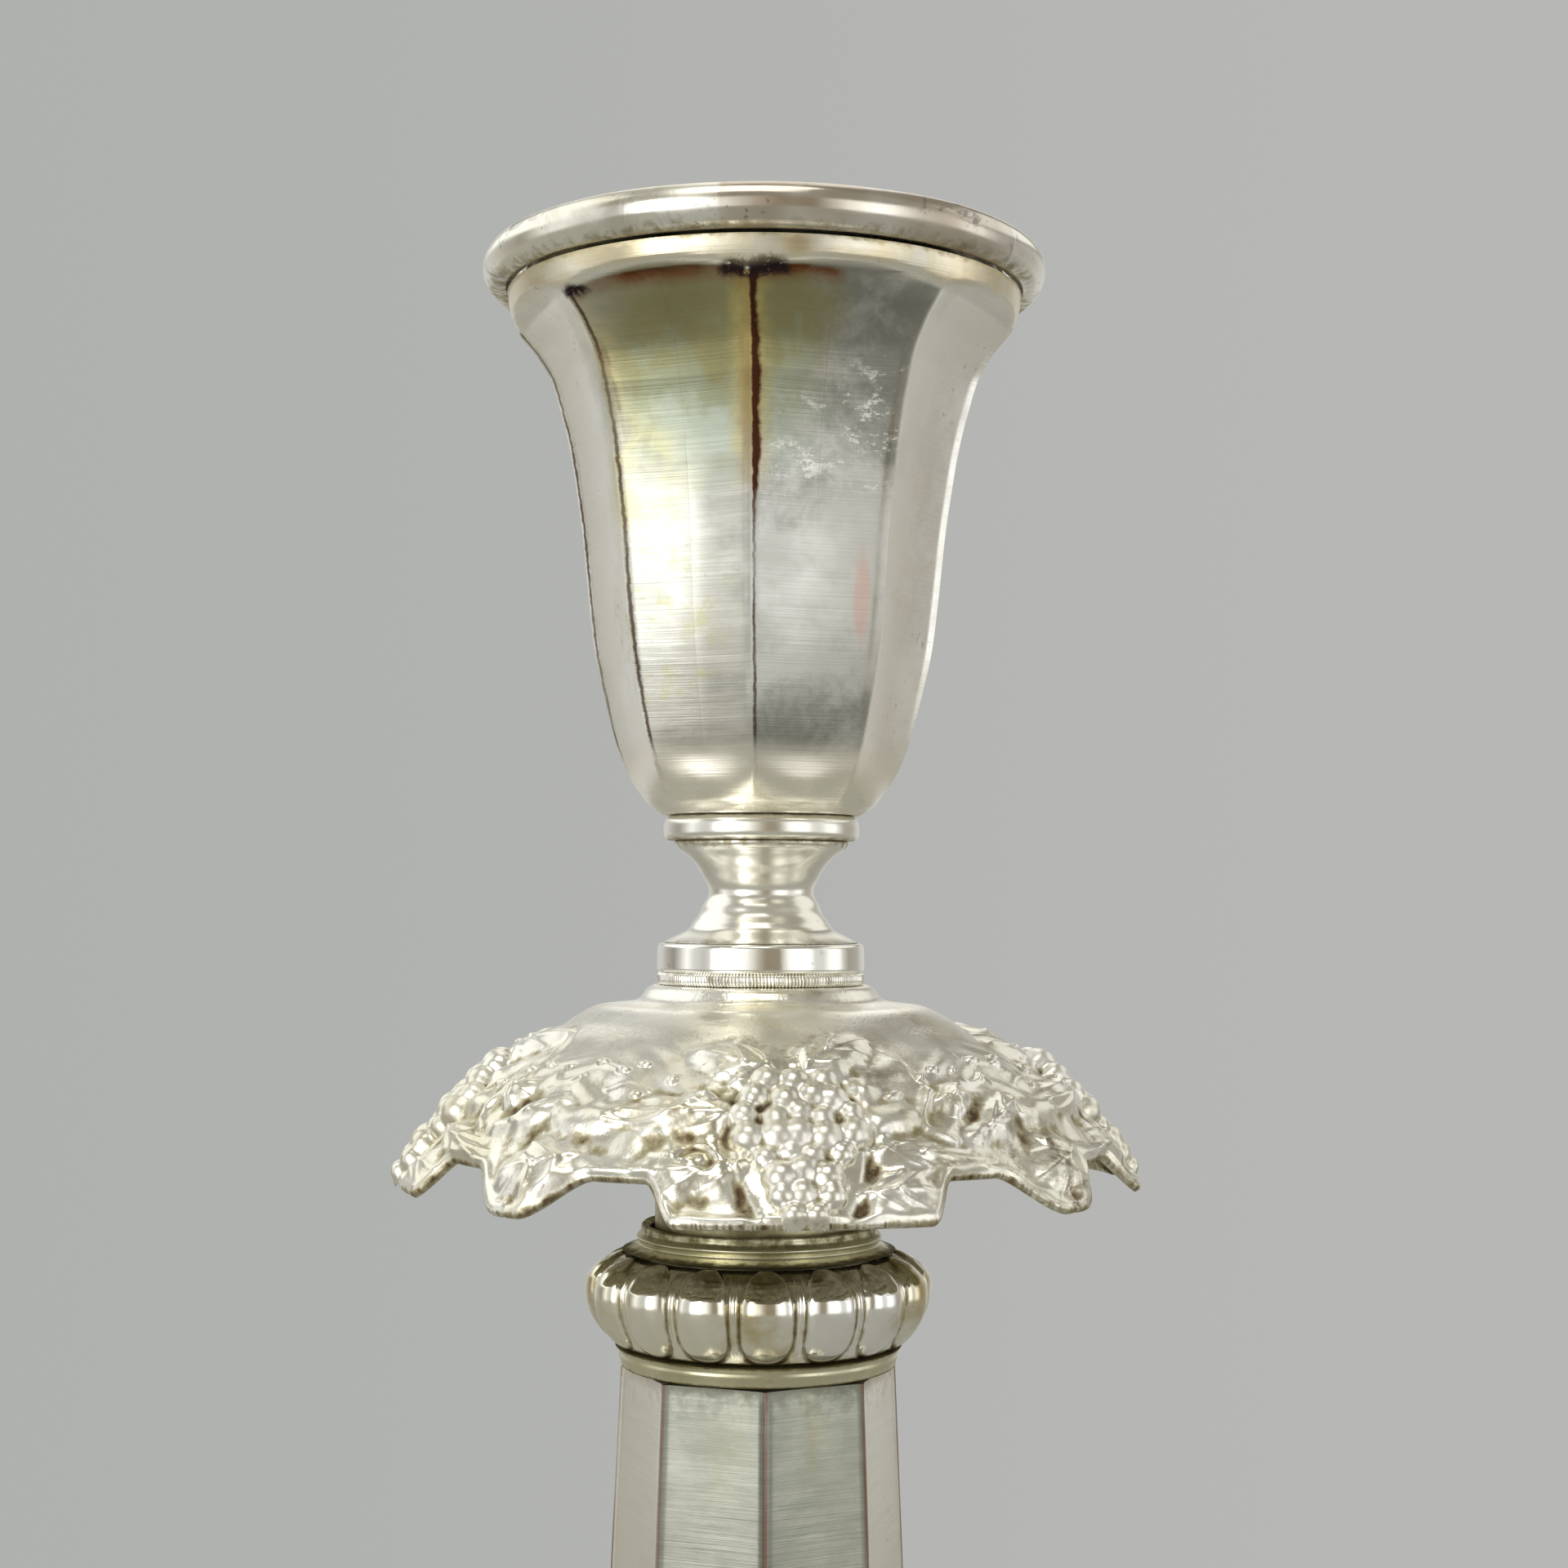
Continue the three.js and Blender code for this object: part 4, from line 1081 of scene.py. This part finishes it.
rim_silver = once(lambda: silver("rim_silver", shine=0.14, haze=0.16, patina=0.45, pits=0.8, dents=1.4,
                                 extra=rim_extra))
inner_silver = once(lambda: silver("inner_silver", shine=0.25, haze=0.25, patina=0.6, pits=0.8, dents=0.6))
neck_silver = once(lambda: silver("neck_silver", shine=0.19, haze=0.05, patina=0.25, pits=0.25, dents=0.6))
disc_silver = once(lambda: silver("disc_silver", shine=0.06, haze=0.05, patina=0.2, pits=0.3, dents=0.5))
pan_silver = once(lambda: silver("pan_silver", shine=0.22, haze=0.14, patina=0.6, pits=0.6, dents=0.5,
                                 extra=pan_extra))
grape_silver = once(lambda: silver("grape_silver", shine=0.26, haze=0.14, patina=0.5, pits=0.3, dents=1.2,
                                   extra=pan_extra))
ring_silver = once(lambda: silver("ring_silver", shine=0.2, haze=0.15, patina=1.0, pits=0.5, dents=0.8,
                                  extra=olive_extra))
collar_silver = once(lambda: silver("collar_silver", shine=0.24, haze=0.2, patina=1.0, pits=0.5, dents=0.4,
                                    extra=olive_extra))
knop_silver = once(lambda: silver("knop_silver", shine=0.1, haze=0.07, patina=1.0, pits=0.35, dents=0.25))
old_brass = once(lambda: plain_metal("old_brass", (0.50, 0.46, 0.28), (0.27, 0.24, 0.13), 0.34))
iron = once(lambda: plain_metal("dark_iron", (0.22, 0.20, 0.18), (0.13, 0.07, 0.04), 0.45))
plaster = once(lambda: matt("old_plaster", (0.62, 0.57, 0.47), (0.45, 0.40, 0.31), 900, 0.0003))


def dress_hidden_nodes():
    """The CAD nodes whose shape is kept get their own finish."""
    finishes = {"bare_brass": old_brass, "iron_fixings": iron, "plaster": plaster}
    slots = {p["node"]: p["material_slot"] for p in frame["record"]["subparts"]}
    for node in ("base_plate", "socket_floor", "tie_rod", "tie_rod_top_nut", "tie_rod_washer",
                 "tie_rod_foot_nut", "stud", "stud_washer", "stud_top_nut", "stud_foot_nut",
                 "plaster_filling"):
        mesh = frame["nodes"][node].data
        mesh.materials.clear()
        mesh.materials.append(finishes[slots[node]]())


# ---------------------------------------------------------------- stage, light and camera


def stage():
    bpy.ops.mesh.primitive_circle_add(vertices=192, radius=0.58, fill_type="NGON")
    floor = bpy.context.object
    floor.name = "studio_floor"
    n = Nodes("pale_floor")
    tone = n.mix(n.between(n.noise(3, 3), 0.3, 0.7), (0.42, 0.42, 0.395), (0.45, 0.45, 0.425))
    n.finish(tone, 0.75, n.bump(n.noise(400, 3), 0.00005), 0.0)
    n.shader.inputs["Specular IOR Level"].default_value = 0.2
    floor.data.materials.append(n.material)


# What the metal mirrors, by degrees to the right of the front: two soft boxes with a dim gap between them,
# paler walls at the sides with a lit strip on each, and the grey backdrop behind.
ROOM = [(-180, 0.53), (-145, 0.53), (-130, 0.36), (-115, 0.25), (-104, 0.50), (-92, 0.95), (-82, 0.62),
        (-68, 0.48), (-61, 0.6), (-54, 2.2), (-35, 2.2), (-29, 1.2), (-16, 0.85), (-5, 0.42), (3, 0.24),
        (18, 0.24), (26, 0.80), (36, 1.3), (51, 1.2), (60, 0.62), (71, 0.62), (80, 1.0), (91, 1.15),
        (101, 0.55), (111, 0.30), (132, 0.36), (146, 0.53), (180, 0.53)]


# Broad patches of that room, each let in between steps along x, y and z (of a unit sphere): one behind the
# candlestick, a dark one on the right, and two pale ones high on the left and the right.
PATCHES = [
    ([("x", -0.24, -0.08), ("x", 0.34, 0.18), ("y", 0.2, 0.35), ("z", 0.2, 0.3)], (0.95, 0.93, 0.86)),
    ([("x", 0.2, 0.35), ("y", -0.25, -0.05), ("z", 0.2, 0.35)], (0.27, 0.255, 0.22)),
    ([("x", -0.3, -0.45), ("y", -0.1, 0.05), ("z", 0.2, 0.35), ("z", 0.88, 0.8)], (1.05, 1.05, 1.0)),
    ([("x", 0.42, 0.5), ("y", -0.15, 0.0), ("z", 0.3, 0.38), ("z", 0.76, 0.68)], (0.8, 0.79, 0.74)),
]


def surroundings():
    """A plain grey studio: its walls as the metal mirrors them, dim near the floor, under a pale ceiling."""
    world = bpy.data.worlds.new("studio")
    bpy.context.scene.world = world
    world.use_nodes = True
    tree = world.node_tree
    tree.nodes.clear()
    add, link = tree.nodes.new, tree.links.new

    def feed(socket, value):
        if isinstance(value, bpy.types.NodeSocket):
            link(value, socket)
        else:
            socket.default_value = value

    def number(operation, a, b):
        node = add("ShaderNodeMath")
        node.operation = operation
        feed(node.inputs[0], a)
        feed(node.inputs[1], b)
        return node.outputs[0]

    def blend(share, a, b):
        node = add("ShaderNodeMix")
        node.data_type = "RGBA"
        link(share, node.inputs["Factor"])
        for socket, value in ((node.inputs[6], a), (node.inputs[7], b)):
            feed(socket, (*value, 1) if isinstance(value, tuple) else value)
        return node.outputs[2]

    def step(value, low, high):
        """0 before low and 1 past high, whichever way they run."""
        node = add("ShaderNodeMapRange")
        node.interpolation_type = "SMOOTHSTEP"
        link(value, node.inputs["Value"])
        node.inputs["From Min"].default_value, node.inputs["From Max"].default_value = low, high
        return node.outputs[0]

    split = add("ShaderNodeSeparateXYZ")
    link(add("ShaderNodeTexCoord").outputs["Generated"], split.inputs[0])
    x, y, z = split.outputs
    turn = number("ADD", number("DIVIDE", number("ARCTAN2", x, number("MULTIPLY", y, -1)), TAU), 0.5)
    ramp = add("ShaderNodeValToRGB")
    link(turn, ramp.inputs[0])
    stops = ramp.color_ramp.elements
    while len(stops) < len(ROOM):
        stops.new(0.5)
    for stop, (degrees, glow) in zip(stops, ROOM):
        warm = (1 - ease(0.3, 0.6, glow)) * (1 if abs(degrees) < 40 else 0.4)
        stop.position = degrees / 360 + 0.5
        stop.color = (glow * (1 + 0.08 * warm), glow * (1 - 0.06 * warm), glow * (0.98 - 0.26 * warm), 1)
    walls = blend(step(z, 0.40, 0.56), ramp.outputs[0], (0.33, 0.32, 0.28))
    walls = blend(number("MULTIPLY", step(y, 0.1, 0.5), step(z, 0.1, 0.4)), walls, (0.42, 0.42, 0.395))
    axes = {"x": x, "y": y, "z": z}
    for edges, glow in PATCHES:
        share = 1.0
        for axis, low, high in edges:
            share = number("MULTIPLY", step(axes[axis], low, high), share)
        walls = blend(share, walls, glow)
    room = blend(step(z, -0.14, -0.27), walls, (0.34, 0.33, 0.29))
    backdrop = blend(step(x, -0.3, 0.34), (0.425, 0.438, 0.422), (0.474, 0.474, 0.462))
    seen = blend(add("ShaderNodeLightPath").outputs["Is Camera Ray"], room, backdrop)
    background = add("ShaderNodeBackground")
    link(seen, background.inputs["Color"])
    brighter = number("SUBTRACT", 1.16, number("MULTIPLY",
                                               add("ShaderNodeLightPath").outputs["Is Camera Ray"], 0.16))
    link(brighter, background.inputs["Strength"])
    link(background.outputs[0], add("ShaderNodeOutputWorld").inputs["Surface"])


def softbox(name, azimuth, elevation, distance, width, height, power, colour=(1, 0.985, 0.95)):
    """A soft box that faces the pan. Azimuth 0 is in front of the candlestick, positive to the right."""
    light = bpy.data.lights.new(name, "AREA")
    light.shape, light.size, light.size_y = "RECTANGLE", width, height
    light.energy, light.color = power, colour
    made = bpy.data.objects.new(name, light)
    bpy.context.scene.collection.objects.link(made)
    a, e = math.radians(azimuth), math.radians(elevation)
    aim = Vector((0, 0, span("drip_pan")[1] * MM))
    back = Vector((math.sin(a) * math.cos(e), -math.cos(a) * math.cos(e), math.sin(e)))
    made.location = aim + back * distance
    made.rotation_mode = "QUATERNION"
    made.rotation_quaternion = (-back).to_track_quat("-Z", "Y")
    made.visible_camera = False


def lights():
    softbox("box_left", -45, 20, 1.6, 0.4, 0.8, 3)
    softbox("box_above", -20, 70, 1.4, 0.8, 0.8, 4)


def camera():
    """Close to the candlestick and level with its drip pan, tilted up a little."""
    data = bpy.data.cameras.new("camera")
    data.lens, data.sensor_width = 56.25, 36
    data.clip_start, data.clip_end = 0.01, 50
    made = bpy.data.objects.new("camera", data)
    bpy.context.scene.collection.objects.link(made)
    bpy.context.scene.camera = made
    distance, side = 0.231, math.radians(-2.8)
    level = span("drip_pan")[1] * MM + 0.0086
    made.location = (distance * math.sin(side), -distance * math.cos(side), level)
    yaw, tilt, roll = side - math.radians(0.52), math.radians(2.6), math.radians(0.31)
    turns = Matrix.Rotation(yaw, 3, "Z") @ Matrix.Rotation(math.pi / 2 + tilt, 3, "X")
    made.rotation_euler = (turns @ Matrix.Rotation(roll, 3, "Z")).to_euler()


# ---------------------------------------------------------------- the whole

nozzle_rim()
nozzle_insides()
cup()
neck()
pan_line, pan_length = drip_pan()
grapes("pan", [f"grapes_{k + 1}" for k in range(QUARTERS)], "drip_pan", pan_line, pan_length, 1.0)
plug()
socket()
knop("knop_gadroons", "knop", 1.0, knop_silver())
under_knop = [(12.8, 0), (12.9, 0.3), (13.05, 0.55), (13.0, 0.75), (13.45, 1)]
moulding("knop_under_moulding", "knop_ring", under_knop, 11.6, ring_silver())
faceted_column("shaft_panels", "shaft", 17.4, 12.65, 0.12, shaft_silver("shaft_silver"))
knop("lower_knop_gadroons", "lower_knop", 1.25, knop_silver())
shaft_end = [(17.6, 0), (18.5, 0.35), (18.5, 0.6), (17.8, 0.75), (17.9, 1)]
moulding("shaft_foot_moulding", "shaft_foot_ring", shaft_end, 14.8, neck_silver())
foot_dome()
foot()
dress_hidden_nodes()
stage()
surroundings()
lights()
camera()
bpy.context.scene.view_settings.view_transform = "Standard"
